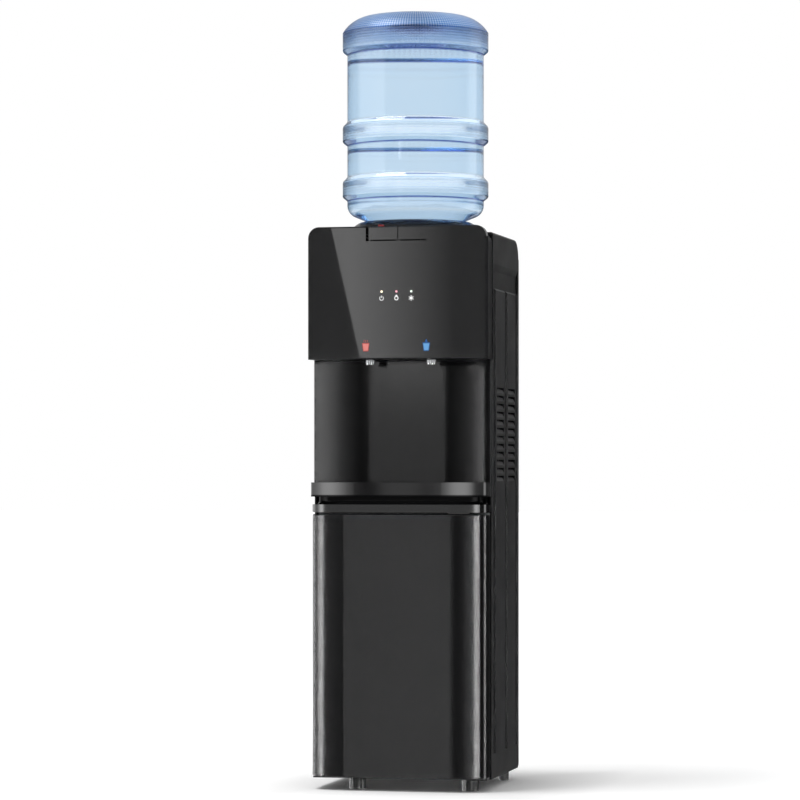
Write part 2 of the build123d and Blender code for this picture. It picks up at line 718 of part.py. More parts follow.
def tray_shelf():
    """The apron over the door: a finger cove along its front and a catch for the door below."""
    cove = COVE_DEPTH
    step = CHIN_Z0 + LIP_HEIGHT
    front = DOOR_Y0 + 0.5
    low = bowed_outline(DOOR_HALF, front, CARCASS_Y0, DOOR_BOW, DOOR_BOW_ANGLE, DOOR_CORNER, 0.5)
    high = bowed_outline(
        DOOR_HALF - cove,
        front + cove,
        CARCASS_Y0,
        DOOR_BOW - cove,
        DOOR_BOW_ANGLE,
        DOOR_CORNER - cove,
        0.5,
    )
    shelf = raise_plan(low, CHIN_Z0, step)
    shelf += raise_plan(high, step, CHIN_Z1)
    inner = [
        edge
        for edge in shelf.edges()
        if abs(edge.center().Z - step) < 0.01
        and abs(edge.bounding_box().size.Z) < 0.01
        and edge.center().Y < CARCASS_Y0 - 30
        and edge.center().Y > front + cove - 1
        and abs(edge.center().X) < DOOR_HALF - cove
    ]
    shelf = fillet(inner, cove - 4.0)
    shelf += block(-RIB_IN, RIB_IN, CARCASS_Y0, SHELF_Y1, CHIN_Z0, CHIN_Z1)
    hollow = DOOR_HALF - 30.0
    shelf -= block(-hollow, hollow, front + 30.0, SHELF_Y1 - SHEET, CHIN_Z0 - 1, CHIN_Z1 - 4.0)
    catch = HALF - CATCH_INSET
    y0 = DOOR_Y0 + COVE_DEPTH + 2.0
    return shelf + block(catch - CATCH_WIDTH, catch, y0, y0 + CATCH_DEPTH, DOOR_Z1 + 0.8, step)


def mid_deck():
    deck = block(-RIB_IN, RIB_IN, SHELF_Y1, REAR_IN, CHIN_Z0, DECK_TOP)
    stand = post(HOT_X, HOT_Y, DECK_TOP, HOT_Z0, HOT_RADIUS - 3.0)
    stand -= post(HOT_X, HOT_Y, DECK_TOP, HOT_Z0, HOT_RADIUS - 6.0)
    deck += stand
    deck -= post(HOT_X, DRAIN_Y, CHIN_Z0 - 1, DECK_TOP + 1, HOSE_RADIUS + 1.0)
    deck -= post(LINE_X, LINE_Y, CHIN_Z0 - 1, DECK_TOP + 1, SUCTION_RADIUS + 1.0)
    return deck - post(-LINE_X, LINE_Y, CHIN_Z0 - 1, DECK_TOP + 1, LIQUID_RADIUS + 1.0)


def storage_liner():
    """The open-fronted bin behind the door, stepped forward over the compressor."""
    half = RIB_IN - 2.5
    top = CHIN_Z0 - 1.5
    deep = CARCASS_Y0 + LINER_HIGH_DEPTH
    wall = LINER_WALL
    liner = block(-half, half, CARCASS_Y0, LINER_Y1, BASE_TOP, top)
    liner += block(-half, half, LINER_Y1, deep, LINER_STEP, top)
    liner += block(-SIDE_IN + 0.1, SIDE_IN - 0.1, CARCASS_Y0, CARCASS_Y0 + wall, BASE_TOP, top)
    liner -= block(wall - half, half - wall, CARCASS_Y0 - 1, LINER_Y1 - wall, BASE_TOP + wall, top - wall)
    return liner - block(wall - half, half - wall, LINER_Y1 - 10, deep - wall, LINER_STEP + wall, top - wall)


def hinge_pins():
    x = HINGE_INSET - DOOR_HALF
    y = DOOR_Y1 - HINGE_INSET
    low = post(x, y, BASE_TOP, BASE_TOP + DOOR_GAP - SLIP, 4.5)
    low += post(x, y, BASE_TOP, DOOR_Z0 + PIN_LENGTH, PIN_RADIUS)
    high = post(x, y, DOOR_Z1 + SLIP, CHIN_Z0, 4.5)
    high += post(x, y, DOOR_Z1 - PIN_LENGTH, CHIN_Z0, PIN_RADIUS)
    return [low, high]


def rear_screws():
    made = []
    heights = [REAR_OPEN + 15, (REAR_OPEN + PANEL_Z0) / 2, PANEL_Z0 - 12]
    heights += [PANEL_Z0 + 12, BODY_TOP - REAR_TOP_RADIUS - 15]
    for side in (-1, 1):
        for z in heights:
            head = fillet(Cylinder(3.5, 2.0).edges().group_by(Axis.Z)[-1], 1.0)
            head -= Pos(0, 0, 1) * Box(4.5, 0.9, 1.6)
            head -= Pos(0, 0, 1) * Box(0.9, 4.5, 1.6)
            made.append(Pos(side * (SIDE_IN - 7.5), CARCASS_Y1 + 1, z) * Rot(-90, 0, 0) * head)
    return made


# Control panel, buttons and taps

def control_panel():
    """The glossy front with its wrapped edges, button opening and lamp holes."""
    panel = backward(panel_outline(HALF, PANEL_Z0, PANEL_TOP, PANEL_CORNER), FRONT, PANEL_Y1)
    panel = fillet(panel.edges().group_by(Axis.Y)[0], PANEL_EDGE)
    inner = HALF - PANEL_WALL
    hollow = panel_outline(inner, PANEL_Z0 + PANEL_WALL, PANEL_TOP - PANEL_WALL, PANEL_CORNER - PANEL_WALL)
    panel -= backward(hollow, FRONT + PANEL_WALL, PANEL_Y1 + 1)
    span = BUTTON_SPAN / 2
    panel -= block(-span, span, FRONT - 1, PANEL_Y1 + 1, BUTTON_Z0, PANEL_TOP + 1)
    for side in (-1, 1):
        for rise in (-10, 10):
            x = side * (BOARD_HALF - 5.0)
            panel += bar_y(x, FRONT + PANEL_WALL, FRONT + BOARD_SETBACK, LENS_Z + rise, 3.0)
    for spot in (-1, 0, 1):
        panel -= bar_y(spot * LENS_SPACING, FRONT - 1, FRONT + PANEL_WALL + 1, LENS_Z, LENS_RADIUS + 0.1)
    return panel


def lamp_lens(spot):
    lens = bar_y(spot * LENS_SPACING, FRONT + 0.2, FRONT + 5.0, LENS_Z, LENS_RADIUS)
    return lens + bar_y(spot * LENS_SPACING, FRONT + PANEL_WALL, FRONT + 4.4, LENS_Z, LENS_RADIUS + 1.2)


def indicator_board():
    y0 = FRONT + BOARD_SETBACK
    return block(-BOARD_HALF, BOARD_HALF, y0, y0 + BOARD_THICK, LENS_Z - BOARD_RISE, LENS_Z + BOARD_RISE)


def button(side):
    """A hollow cap, open at its foot, with a long rod that reaches down to the valve lever."""
    x0, x1 = BUTTON_X0, SEAM_X - BUTTON_SEAM / 2
    if side > 0:
        x0, x1 = SEAM_X + BUTTON_SEAM / 2, BUTTON_X1
    cap = block(x0, x1, BUTTON_Y0, BUTTON_Y1, SKIRT_Z0, PANEL_TOP)
    soft = cap.edges().group_by(Axis.Z)[-1]
    cap = fillet(soft, 2.0)
    wall = SHEET
    cap -= block(x0 + wall, x1 - wall, BUTTON_Y0 + wall, BUTTON_Y1 - wall, SKIRT_Z0 - 1, BUTTON_ROOF)
    cap -= block(x0 - 1, x1 + 1, BUTTON_Y0 - 1, BUTTON_Y0 + wall, SKIRT_Z0 - 1, BUTTON_Z0 + BUTTON_FOOT)
    cap += post(side * ROD_X, ROD_Y, PIVOT_Z + NOSE + CONTACT, BUTTON_ROOF + 1, ROD_RADIUS)
    if side < 0:
        x0 = LOCK_EDGE - LOCK_WIDTH - LOCK_TRAVEL - SLIP
        y0 = BUTTON_Y0 + 3.0 - SLIP
        y1 = y0 + LOCK_DEPTH + 2 * SLIP
        cap -= block(x0, LOCK_EDGE + SLIP, y0, y1, PANEL_TOP - LOCK_SUNK - SLIP, PANEL_TOP + 1)
    return cap


def child_lock():
    y0 = BUTTON_Y0 + 3.0
    low = PANEL_TOP - LOCK_SUNK
    knob = block(LOCK_EDGE - LOCK_WIDTH, LOCK_EDGE, y0, y0 + LOCK_DEPTH, low, PANEL_TOP + LOCK_RISE)
    return fillet(knob.edges().group_by(Axis.Z)[-1], 1.0)


def button_spring(side):
    wire = SPRING_WIRE
    low = SHELF_TOP + wire + 0.25
    high = BUTTON_ROOF - wire - 0.25
    turns = 8
    radius = ROD_RADIUS + SPRING_PLAY
    path, points = coil_path(side * ROD_X, ROD_Y, radius, low, (high - low) / turns, turns)
    print("spring least gap", round((points[4] - points[0]).length - 2 * wire, 2))
    return tube(path, wire)


def tap(side):
    """A valve body: spout below, chamber above the floor, hose barb behind, two lever ears."""
    x = side * TAP_X
    body = post(x, TAP_Y, FLOOR_TOP, CHAMBER_Z0, CHAMBER_RADIUS + 3.0)
    body += post(x, TAP_Y, PANEL_Z0 - 1.0, FLOOR_TOP, SPOUT_RADIUS)
    body += post(x, TAP_Y, CHAMBER_Z0, CHAMBER_Z1, CHAMBER_RADIUS)
    body += bar_y(x, TAP_Y, BARB_Y1, BARB_Z, BARB_RADIUS)
    for way in (-1, 1):
        near = LEVER_HALF + SLIP
        x0, x1 = sorted((x + way * near, x + way * (near + EAR)))
        body += block(x0, x1, PIVOT_Y - 3.5, TAP_Y, CHAMBER_Z1 - 10.0, PIVOT_Z + 3.5)
    body -= post(x, TAP_Y, CHAMBER_Z0 + 5.0, CHAMBER_Z1 - SHEET, CHAMBER_RADIUS - 3.0)
    body -= post(x, TAP_Y, PANEL_Z0 - 2.0, CHAMBER_Z0 + 6.0, SPOUT_RADIUS - 3.0)
    body -= post(x, TAP_Y, CHAMBER_Z1 - 5.0, CHAMBER_Z1 + 1.0, STEM_RADIUS + RUN_FIT)
    body -= bar_y(x, TAP_Y, BARB_Y1 + 1, BARB_Z, BARB_RADIUS - 2.0)
    half = LEVER_HALF + SLIP + EAR
    return body + bar_x(x - half, x + half, PIVOT_Y, PIVOT_Z, PIVOT_RADIUS)


def spout_tip(side):
    """A bright ring with upright flutes on the end of a spout."""
    x = side * TAP_X
    low = PANEL_Z0 - SPOUT_DROP
    ring = post(x, TAP_Y, low, PANEL_Z0 - 1.0, SPOUT_RADIUS)
    ring += post(x, TAP_Y, low, low + 2.2, SPOUT_RADIUS + 0.8)
    ring -= post(x, TAP_Y, low - 1, PANEL_Z0, SPOUT_RADIUS - 3.0)
    flutes = [
        post(
            x + (SPOUT_RADIUS + 0.6) * math.cos(math.radians(spot)),
            TAP_Y + (SPOUT_RADIUS + 0.6) * math.sin(math.radians(spot)),
            low + 2.2,
            PANEL_Z0,
            1.3,
        )
        for spot in range(0, 360, 30)
    ]
    return ring - flutes


def valve_lever(side):
    """A rocker: the button rod pushes its front nose down, its rear prongs lift the stem."""
    x = side * TAP_X
    reach = TAP_X - ROD_X + ROD_RADIUS + 1.0
    lever = bar_x(x - LEVER_HALF, x + LEVER_HALF, PIVOT_Y, PIVOT_Z, PIVOT_RADIUS + 1.7)
    lever += block(x - 5.5, x + 5.5, ROD_Y, PIVOT_Y, PIVOT_Z - NOSE, PIVOT_Z + NOSE)
    lever += bar_x(x - reach, x + reach, ROD_Y, PIVOT_Z, NOSE)
    for way in (-1, 1):
        x0, x1 = sorted((x + way * 3.2, x + way * 6.2))
        lever += block(x0, x1, PIVOT_Y, TAP_Y, PIVOT_Z - NOSE, PIVOT_Z + NOSE)
        lever += bar_x(x0, x1, TAP_Y, PIVOT_Z, NOSE)
    return lever - bar_x(x - 10, x + 10, PIVOT_Y, PIVOT_Z, PIVOT_RADIUS + RUN_FIT)


def valve_stem(side):
    x = side * TAP_X
    seat = CHAMBER_Z0 + 5.5
    head = PIVOT_Z + NOSE + CONTACT
    stem = post(x, TAP_Y, seat, head + 2.5, STEM_RADIUS)
    stem += post(x, TAP_Y, seat, seat + 5.0, CHAMBER_RADIUS - 5.5)
    return stem + post(x, TAP_Y, head, head + 2.5, 6.5)


# Door

def door_plan(inset, back):
    return bowed_outline(
        DOOR_HALF - inset,
        DOOR_Y0 + inset,
        back,
        DOOR_BOW - inset,
        DOOR_BOW_ANGLE,
        DOOR_CORNER - inset,
        HINGE_INSET,
    )


def liner_window():
    """Half width, lower and upper edge of the opening in the back of the door."""
    return DOOR_HALF - WINDOW_INSET, DOOR_Z0 + WINDOW_INSET, DOOR_Z1 - WINDOW_INSET


def door_skin():
    rim = DOOR_RIM
    skin = raise_plan(door_plan(0.0, DOOR_Y1), DOOR_Z0, DOOR_Z1)
    front = [
        edge
        for edge in skin.edges()
        if edge.bounding_box().size.Z < 0.01 and edge.center().Y < DOOR_Y1 - 2 * HINGE_INSET
    ]
    skin = fillet(front, 2.0)
    hollow = door_plan(DOOR_WALL, DOOR_Y1 - rim)
    skin -= raise_plan(hollow, DOOR_Z0 + DOOR_WALL, DOOR_Z1 - DOOR_WALL)
    half, low, high = liner_window()
    skin -= block(-half, half, DOOR_Y1 - rim - 1, DOOR_Y1 + 1, low, high)
    x = HINGE_INSET - DOOR_HALF
    y = DOOR_Y1 - HINGE_INSET
    boss = PIN_LENGTH + 4.0
    hole = PIN_LENGTH + 1.0
    for end, way in ((DOOR_Z0, 1), (DOOR_Z1, -1)):
        z0, z1 = sorted((end + way * DOOR_WALL / 2, end + way * boss))
        skin += post(x, y, z0, z1, HINGE_INSET - 0.5)
        z0, z1 = sorted((end - way, end + way * hole))
        skin -= post(x, y, z0, z1, PIN_RADIUS + RUN_FIT)
    return skin


def door_liner():
    """The flat inner face of the door, with a shallow raised frame."""
    half, low, high = liner_window()
    fit = 0.2
    plate = block(fit - half, half - fit, DOOR_Y1 - DOOR_RIM, DOOR_Y1, low + fit, high - fit)
    edge = FRAME_BORDER
    return plate - block(edge - half, half - edge, DOOR_Y1 - 1.5, DOOR_Y1 + 1, low + edge, high - edge)


# Drip tray

def tray_plan(inset):
    """The tray from above: bowed front, then the alcove's curve behind."""
    radius, centre_y = alcove_arc()
    reach = radius - 1.0 - inset
    wing = DOOR_Y1 - 2.0 - inset
    front = bowed_outline(
        TRAY_HALF - inset,
        TRAY_Y0 + inset,
        wing,
        TRAY_BOW - inset,
        TRAY_BOW_ANGLE,
        TRAY_CORNER - inset,
        0.5,
    )
    flat = ALCOVE_FLAT / 2
    back = ALCOVE_Y1 - 1.0 - inset
    meet = wing - 2.0
    drop = meet - centre_y
    wide = flat + math.sqrt(reach**2 - drop**2)
    lean = math.acos(drop / reach) / 2
    middle = (flat + reach * math.sin(lean), centre_y + reach * math.cos(lean))
    edges = [
        Line((-wide, meet), (wide, meet)),
        ThreePointArc((wide, meet), middle, (flat, back)),
        Line((flat, back), (-flat, back)),
        ThreePointArc((-flat, back), (-middle[0], middle[1]), (-wide, meet)),
    ]
    return front, make_face(edges)


def tray_solid(inset, z0, z1):
    front, rear = tray_plan(inset)
    half = TRAY_HALF - inset
    basin = raise_plan(rear, z0, z1) & block(-half, half, TRAY_Y0, ALCOVE_Y1, z0, z1)
    return raise_plan(front, z0, z1) + basin


def drip_tray():
    ledge = TRAY_Z1 - 1.0 - GRILLE
    tray = tray_solid(0.0, TRAY_Z0, TRAY_Z1)
    tray -= tray_solid(SHEET, ledge, TRAY_Z1 + 1)
    return tray - tray_solid(SHEET + 4.0, TRAY_Z0 + SHEET, ledge + 1)


def drip_grille():
    ledge = TRAY_Z1 - 1.0 - GRILLE
    grille = tray_solid(SHEET + SLIP, ledge, ledge + GRILLE)
    front = TRAY_Y0 + SLOT_FRONT
    back = ALCOVE_Y1 - SLOT_BACK
    count = int(SLOT_SPREAD / SLOT_PITCH / 2)
    slots = []
    for spot in range(-count, count + 1):
        x = SLOT_PITCH * spot - SLOT_WIDTH / 2
        slots.append(block(x, x + SLOT_WIDTH, front, back, ledge - 1, ledge + GRILLE + 1))
    return grille - slots


# Bottle, collar and well

def shoulder_end():
    """Where the bottle's round shoulder meets its cone."""
    turn = math.radians(SHOULDER_ANGLE)
    radius = BOTTLE_BODY_RADIUS - SHOULDER_RADIUS * (1 - math.cos(turn))
    return radius, BODY_TOP + BOTTLE_RISE - SHOULDER_RADIUS * math.sin(turn)


def cone_height(radius):
    """Height of the bottle's cone at a radius."""
    start, z = shoulder_end()
    return z - (start - radius) / math.tan(math.radians(SHOULDER_ANGLE))


NECK_TOP = cone_height(NECK_RADIUS + 9.0) - 8.0
MOUTH = NECK_TOP - NECK_LENGTH
BODY_LEVEL = BODY_TOP + BOTTLE_RISE
BAND_END = BODY_LEVEL + BAND_LOW + BAND_TALL
BOTTLE_END = BAND_END + CROWN_HEIGHT


def bottle_shell():
    """A thin shell with two body ribs, a base band and a shallow crown with a hollow in it."""
    level = BODY_LEVEL
    cone, cone_z = shoulder_end()
    half_turn = math.radians(SHOULDER_ANGLE / 2)
    bend = (
        BOTTLE_BODY_RADIUS - SHOULDER_RADIUS * (1 - math.cos(half_turn)),
        level - SHOULDER_RADIUS * math.sin(half_turn),
    )
    body = BOTTLE_BODY_RADIUS
    band = BOTTLE_BAND_RADIUS
    wall = [(body, level)]
    for rib in range(2):
        low = level + RIB_LOW + RIB_PITCH * rib
        wall += [(body, low), (band, low + 7), (band, low + RIB_HEIGHT - 7), (body, low + RIB_HEIGHT)]
    low = level + BAND_LOW
    high = BAND_END
    wall += [(body, low), (band, low + 7), (band, high)]
    top = BOTTLE_END
    rise = top - high
    reach = band - CROWN_FLAT
    crown = (rise**2 + reach**2) / (2 * rise)
    lean = math.asin(reach / crown) / 2
    mid_crown = (CROWN_FLAT + crown * math.sin(lean), top - crown * (1 - math.cos(lean)))
    punt = (CROWN_FLAT**2 + PUNT_DEPTH**2) / (2 * PUNT_DEPTH)
    lean = math.asin(CROWN_FLAT / punt) / 2
    punt_mid = (punt * math.sin(lean), top - PUNT_DEPTH + punt * (1 - math.cos(lean)))
    neck = NECK_RADIUS
    start = NECK_RADIUS + 9.0
    edges = [
        Polyline(*[(r, 0, z) for r, z in wall]),
        ThreePointArc((band, 0, high), (mid_crown[0], 0, mid_crown[1]), (CROWN_FLAT, 0, top)),
        ThreePointArc((CROWN_FLAT, 0, top), (punt_mid[0], 0, punt_mid[1]), (0, 0, top - PUNT_DEPTH)),
        Polyline((0, 0, top - PUNT_DEPTH), (0, 0, MOUTH), (neck, 0, MOUTH), (neck, 0, NECK_TOP)),
        Line((neck, 0, NECK_TOP), (start, 0, cone_height(start))),
        Line((start, 0, cone_height(start)), (cone, 0, cone_z)),
        ThreePointArc((cone, 0, cone_z), (bend[0], 0, bend[1]), (body, 0, level)),
    ]
    solid = revolve(make_face(edges), Axis.Z)
    corners = [
        edge
        for edge in solid.edges()
        if edge.geom_type == GeomType.CIRCLE
        and edge.radius > body - 1
        and edge.center().Z > level + 1
        and edge.center().Z < high + 1
    ]
    solid = fillet(corners, 5.0)
    rim = [edge for edge in solid.edges() if abs(edge.center().Z - top) < 0.01]
    solid = fillet(rim, 6.0)
    mouth = solid.faces().sort_by(Axis.Z)[0]
    shell = offset(solid, amount=-BOTTLE_WALL, openings=mouth)
    return Pos(0, BOTTLE_Y, 0) * shell


BOTTLE = bottle_shell()


def bottle_part(z0, z1):
    """The bottle between two heights."""
    return BOTTLE & post(0, BOTTLE_Y, z0, z1, BOTTLE_BAND_RADIUS + 5.0)


def seat(radius):
    """The collar's seat, just under the bottle's cone."""
    return cone_height(radius) - SLIP / math.sin(math.radians(SHOULDER_ANGLE))


def under_seat(radius):
    """The collar's lower face."""
    return seat(radius) - COLLAR_WALL - 0.5


def bottle_collar():
    """A low dome whose inside carries the bottle's shoulder."""
    rim = COLLAR_RIM
    crest = seat(rim) + 0.5
    foot = COLLAR_RADIUS
    slope = crest - BODY_TOP
    bulge = (foot - 0.21 * (foot - COLLAR_CREST), BODY_TOP + 0.65 * slope)
    inner_foot = foot - COLLAR_WALL - 1.0
    inner_bulge = (bulge[0] - 0.75 * COLLAR_WALL, bulge[1] - 0.75 * COLLAR_WALL)
    inner_crest = under_seat(rim) + 0.5
    edges = [
        ThreePointArc((foot, 0, BODY_TOP), (bulge[0], 0, bulge[1]), (COLLAR_CREST, 0, crest)),
        Polyline(
            (COLLAR_CREST, 0, crest),
            (rim, 0, seat(rim)),
            (WELL_RADIUS, 0, seat(WELL_RADIUS)),
            (WELL_RADIUS, 0, under_seat(WELL_RADIUS)),
            (rim, 0, under_seat(rim)),
            (COLLAR_CREST, 0, inner_crest),
        ),
        ThreePointArc(
            (COLLAR_CREST, 0, inner_crest),
            (inner_bulge[0], 0, inner_bulge[1]),
            (inner_foot, 0, BODY_TOP),
        ),
        Line((inner_foot, 0, BODY_TOP), (foot, 0, BODY_TOP)),
    ]
    return spin(edges, 0, BOTTLE_Y)


def well_sleeve():
    """The sleeve the bottle's neck hangs in; the cold tank's lid is its floor."""
    top = under_seat(WELL_RADIUS) - SLIP
    sleeve = post(0, BOTTLE_Y, COLD_TOP, top, WELL_RADIUS + COLLAR_WALL)
    return sleeve - post(0, BOTTLE_Y, COLD_TOP - 1, top + 1, WELL_RADIUS)


# Water tanks

def cold_tank():
    tank = post(0, BOTTLE_Y, COLD_Z0, COLD_TOP, COLD_RADIUS)
    tank -= post(0, BOTTLE_Y, COLD_Z0 + TANK_WALL, COLD_TOP - TANK_WALL, COLD_RADIUS - TANK_WALL)
    tank -= post(0, BOTTLE_Y, COLD_TOP - 5, COLD_TOP + 1, INLET_RADIUS)
    for x, y in (COLD_TAP_STUB, HOT_FEED_STUB):
        tank += post(x, y, COLD_Z0 - STUB, COLD_Z0, BARB_RADIUS)
        tank -= post(x, y, COLD_Z0 - STUB - 1, COLD_Z0 + TANK_WALL + 1, BARB_RADIUS - 2.0)
    return tank


def tank_insulation():
    outer = COLD_RADIUS + FOAM_GAP + FOAM_WALL
    foam = post(0, BOTTLE_Y, FOAM_Z0, COLD_TOP - 6.0, outer)
    foam -= post(0, BOTTLE_Y, COLD_Z0, COLD_TOP, COLD_RADIUS + FOAM_GAP)
    for x, y in (COLD_TAP_STUB, HOT_FEED_STUB):
        foam -= post(x, y, FOAM_Z0 - 1, COLD_Z0 + 1, HOSE_RADIUS + 1.0)
    reach = COIL_LEAD + 10.0
    foam -= bar_x(-reach, 0, COIL_Y, COIL_Z0 - 0.8, COIL_TUBE + 2.0)
    return foam - bar_x(0, reach, COIL_Y, COIL_Z1 + 0.8, COIL_TUBE + 2.0)


def evaporator_coil():
    path, points = coil_path(0, BOTTLE_Y, COIL_RADIUS, COIL_Z0, COIL_PITCH, COIL_TURNS, COIL_LEAD)
    print("evaporator least gap", round((points[4] - points[0]).length - 2 * COIL_TUBE, 2))
    return tube(path, COIL_TUBE)


def hot_tank():
    tank = post(HOT_X, HOT_Y, HOT_Z0, HOT_Z1, HOT_RADIUS)
    tank += post(HOT_X, HOT_Y, HOT_Z1, HOT_Z1 + STUB, BARB_RADIUS)
    tank += bar_x(HOT_X, HOT_X + HOT_RADIUS + STUB, HOT_Y, HOT_Z0 + 18, BARB_RADIUS)
    tank += bar_y(HOT_X, HOT_Y, HOT_Y + HOT_RADIUS + STUB, HOT_Z0 + 18, BARB_RADIUS)
    bore = BARB_RADIUS - 2.0
    tank -= post(HOT_X, HOT_Y, HOT_Z0 + TANK_WALL, HOT_Z1 - TANK_WALL, HOT_RADIUS - TANK_WALL)
    tank -= post(HOT_X, HOT_Y, HOT_Z1 - 5, HOT_Z1 + STUB + 1, bore)
    tank -= bar_x(HOT_X, HOT_X + HOT_RADIUS + STUB + 1, HOT_Y, HOT_Z0 + 18, bore)
    return tank - bar_y(HOT_X, HOT_Y, HOT_Y + HOT_RADIUS + STUB + 1, HOT_Z0 + 18, bore)


def heater_band():
    """A strap heater round the hot tank, with two terminals."""
    low = HOT_Z0 + HEATER_RISE
    high = low + HEATER_HEIGHT
    band = post(HOT_X, HOT_Y, low, high, HOT_RADIUS + 2.2)
    band -= post(HOT_X, HOT_Y, low - 1, high + 1, HOT_RADIUS + 0.2)
    for way in (-1, 1):
        x = HOT_X + way * 8.0
        edge = HOT_Y - HOT_RADIUS - 1.2
        band += block(x - 3.2, x + 3.2, edge - 12.0, edge, low + 18.0, low + 24.0)
    return band


def thermal_cutouts():
    return [post(HOT_X + way * 25.0, HOT_Y, HOT_Z1, HOT_Z1 + 6.0, 8.0) for way in (-1, 1)]


def silicone_hoses():
    """Cold tap feed, hot tap feed, hot tank feed and hot tank drain."""
    start = COLD_Z0 - 4.0
    grip = BARB_LENGTH - 3.0
    end_y = BARB_Y1 - grip
    x, y = COLD_TAP_STUB
    cold = [(x, y, start), (x, y, BARB_Z), (TAP_X, y - COLD_HOSE_RUN, BARB_Z), (TAP_X, end_y, BARB_Z)]
    top = HOT_Z1 + 4.0
    hot = [
        (HOT_X, HOT_Y, top),
        (HOT_X, HOT_Y, BARB_Z),
        (-TAP_X, BOTTLE_Y - HOT_HOSE_TURN, BARB_Z),
        (-TAP_X, end_y, BARB_Z),
    ]
    x, y = HOT_FEED_STUB
    inlet = HOT_X + HOT_RADIUS + 4.0
    feed = [(x, y, start), (x, HOT_Y, HOT_Z0 + 18), (inlet, HOT_Y, HOT_Z0 + 18)]
    outlet = HOT_Y + HOT_RADIUS + 4.0
    drain = [
        (HOT_X, outlet, HOT_Z0 + 18),
        (HOT_X, DRAIN_Y, HOT_Z0 + 18),
        (HOT_X, DRAIN_Y, DRAIN_Z),
        (HOT_X, REAR_IN - 4.0, DRAIN_Z),
    ]
    bore = BARB_RADIUS + 0.1
    return [tube(run(points, HOSE_BEND), HOSE_RADIUS, bore) for points in (cold, hot, feed, drain)]


def drain_outlet():
    """A spigot through the back, closed by its cap."""
    spout = bar_y(HOT_X, REAR_IN - 18.0, REAR_IN - 3.5, DRAIN_Z, BARB_RADIUS)
    spout += bar_y(HOT_X, REAR_IN - 3.5, REAR_IN, DRAIN_Z, BARB_RADIUS + 5.0)
    spout += bar_y(HOT_X, REAR_IN, DEPTH / 2 - 5.0, DRAIN_Z, DRAIN_RADIUS)
    return spout - bar_y(HOT_X, REAR_IN - 19, DEPTH / 2, DRAIN_Z, BARB_RADIUS - 2.0)


def drain_cap():
    inner = DRAIN_RADIUS + SLIP
    cap = bar_y(HOT_X, CARCASS_Y1 + 1.0, DEPTH / 2 - 2.0, DRAIN_Z, inner + 2.5)
    cap = fillet(cap.edges().group_by(Axis.Y)[-1], 1.0)
    return cap - bar_y(HOT_X, CARCASS_Y1, DEPTH / 2 - 5.0 + SLIP, DRAIN_Z, inner)


# Cooling unit

def compressor():
    """A sealed can on a stamped foot plate, with two copper ports on top."""
    can = post(COMPRESSOR_X, COMPRESSOR_Y, COMPRESSOR_Z0, COMPRESSOR_Z1, COMPRESSOR_RADIUS)
    can = fillet(can.edges().group_by(Axis.Z)[-1], 22.0)
    can = fillet(can.edges().group_by(Axis.Z)[0], 10.0)
    seam = COMPRESSOR_Z0 + SEAM_RISE
    can += post(COMPRESSOR_X, COMPRESSOR_Y, seam, seam + SEAM_HEIGHT, COMPRESSOR_RADIUS + 2.5)
    plate = COMPRESSOR_Z0 - SHEET
    wide = COMPRESSOR_RADIUS + 20.0
    deep = COMPRESSOR_RADIUS
    foot = block(
        COMPRESSOR_X - wide,
        COMPRESSOR_X + wide,
        COMPRESSOR_Y - deep,
        COMPRESSOR_Y + deep,
        plate,
        COMPRESSOR_Z0 + 1.0,
    )
    for x, y in grommet_spots():
        foot -= post(x, y, plate - 1, COMPRESSOR_Z0 + 2, STUD_RADIUS + SLIP)
    for way in (-1, 1):
        can += post(COMPRESSOR_X + way * PORT_SPREAD, COMPRESSOR_Y, COMPRESSOR_Z1 - 8, PORT_Z, SUCTION_RADIUS)
    return can + foot


def compressor_grommets():
    top = BASE_TOP + GROMMET_HEIGHT
    return [
        post(x, y, BASE_TOP, top, 9.0) - post(x, y, BASE_TOP - 1, top + 1, STUD_RADIUS + SLIP)
        for x, y in grommet_spots()
    ]


def coil_ends():
    """End points of the evaporator's lower and upper leads."""
    slope = COIL_PITCH / (2 * math.pi * COIL_RADIUS)
    drop = COIL_LEAD * slope / math.hypot(1, slope)
    reach = COIL_LEAD / math.hypot(1, slope)
    return (-reach - 0.5, COIL_Y, COIL_Z0 - drop), (reach + 0.5, COIL_Y, COIL_Z1 + drop)


def refrigerant_lines():
    """Suction line, drier and liquid line."""
    low, high = coil_ends()
    port = (COMPRESSOR_X + PORT_SPREAD, COMPRESSOR_Y, PORT_Z)
    level = COMPRESSOR_Z1 + SUCTION_RISE
    suction = [
        port,
        (port[0], port[1], level),
        (LINE_X, LINE_Y, level),
        (LINE_X, LINE_Y, high[2]),
        (LINE_X, COIL_Y, high[2]),
        high,
    ]
    drier_top = REAR_OPEN + DRIER_LENGTH
    liquid = [
        (-LINE_X, LINE_Y, drier_top),
        (-LINE_X, LINE_Y, low[2]),
        (-LINE_X, COIL_Y, low[2]),
        low,
    ]
    drier = post(-LINE_X, LINE_Y, REAR_OPEN, drier_top, DRIER_RADIUS)
    drier = chamfer(drier.edges().group_by(Axis.Z)[0] + drier.edges().group_by(Axis.Z)[-1], 5.0)
    return [tube(run(suction, LINE_BEND), SUCTION_RADIUS), drier, tube(run(liquid, LINE_BEND), LIQUID_RADIUS)]


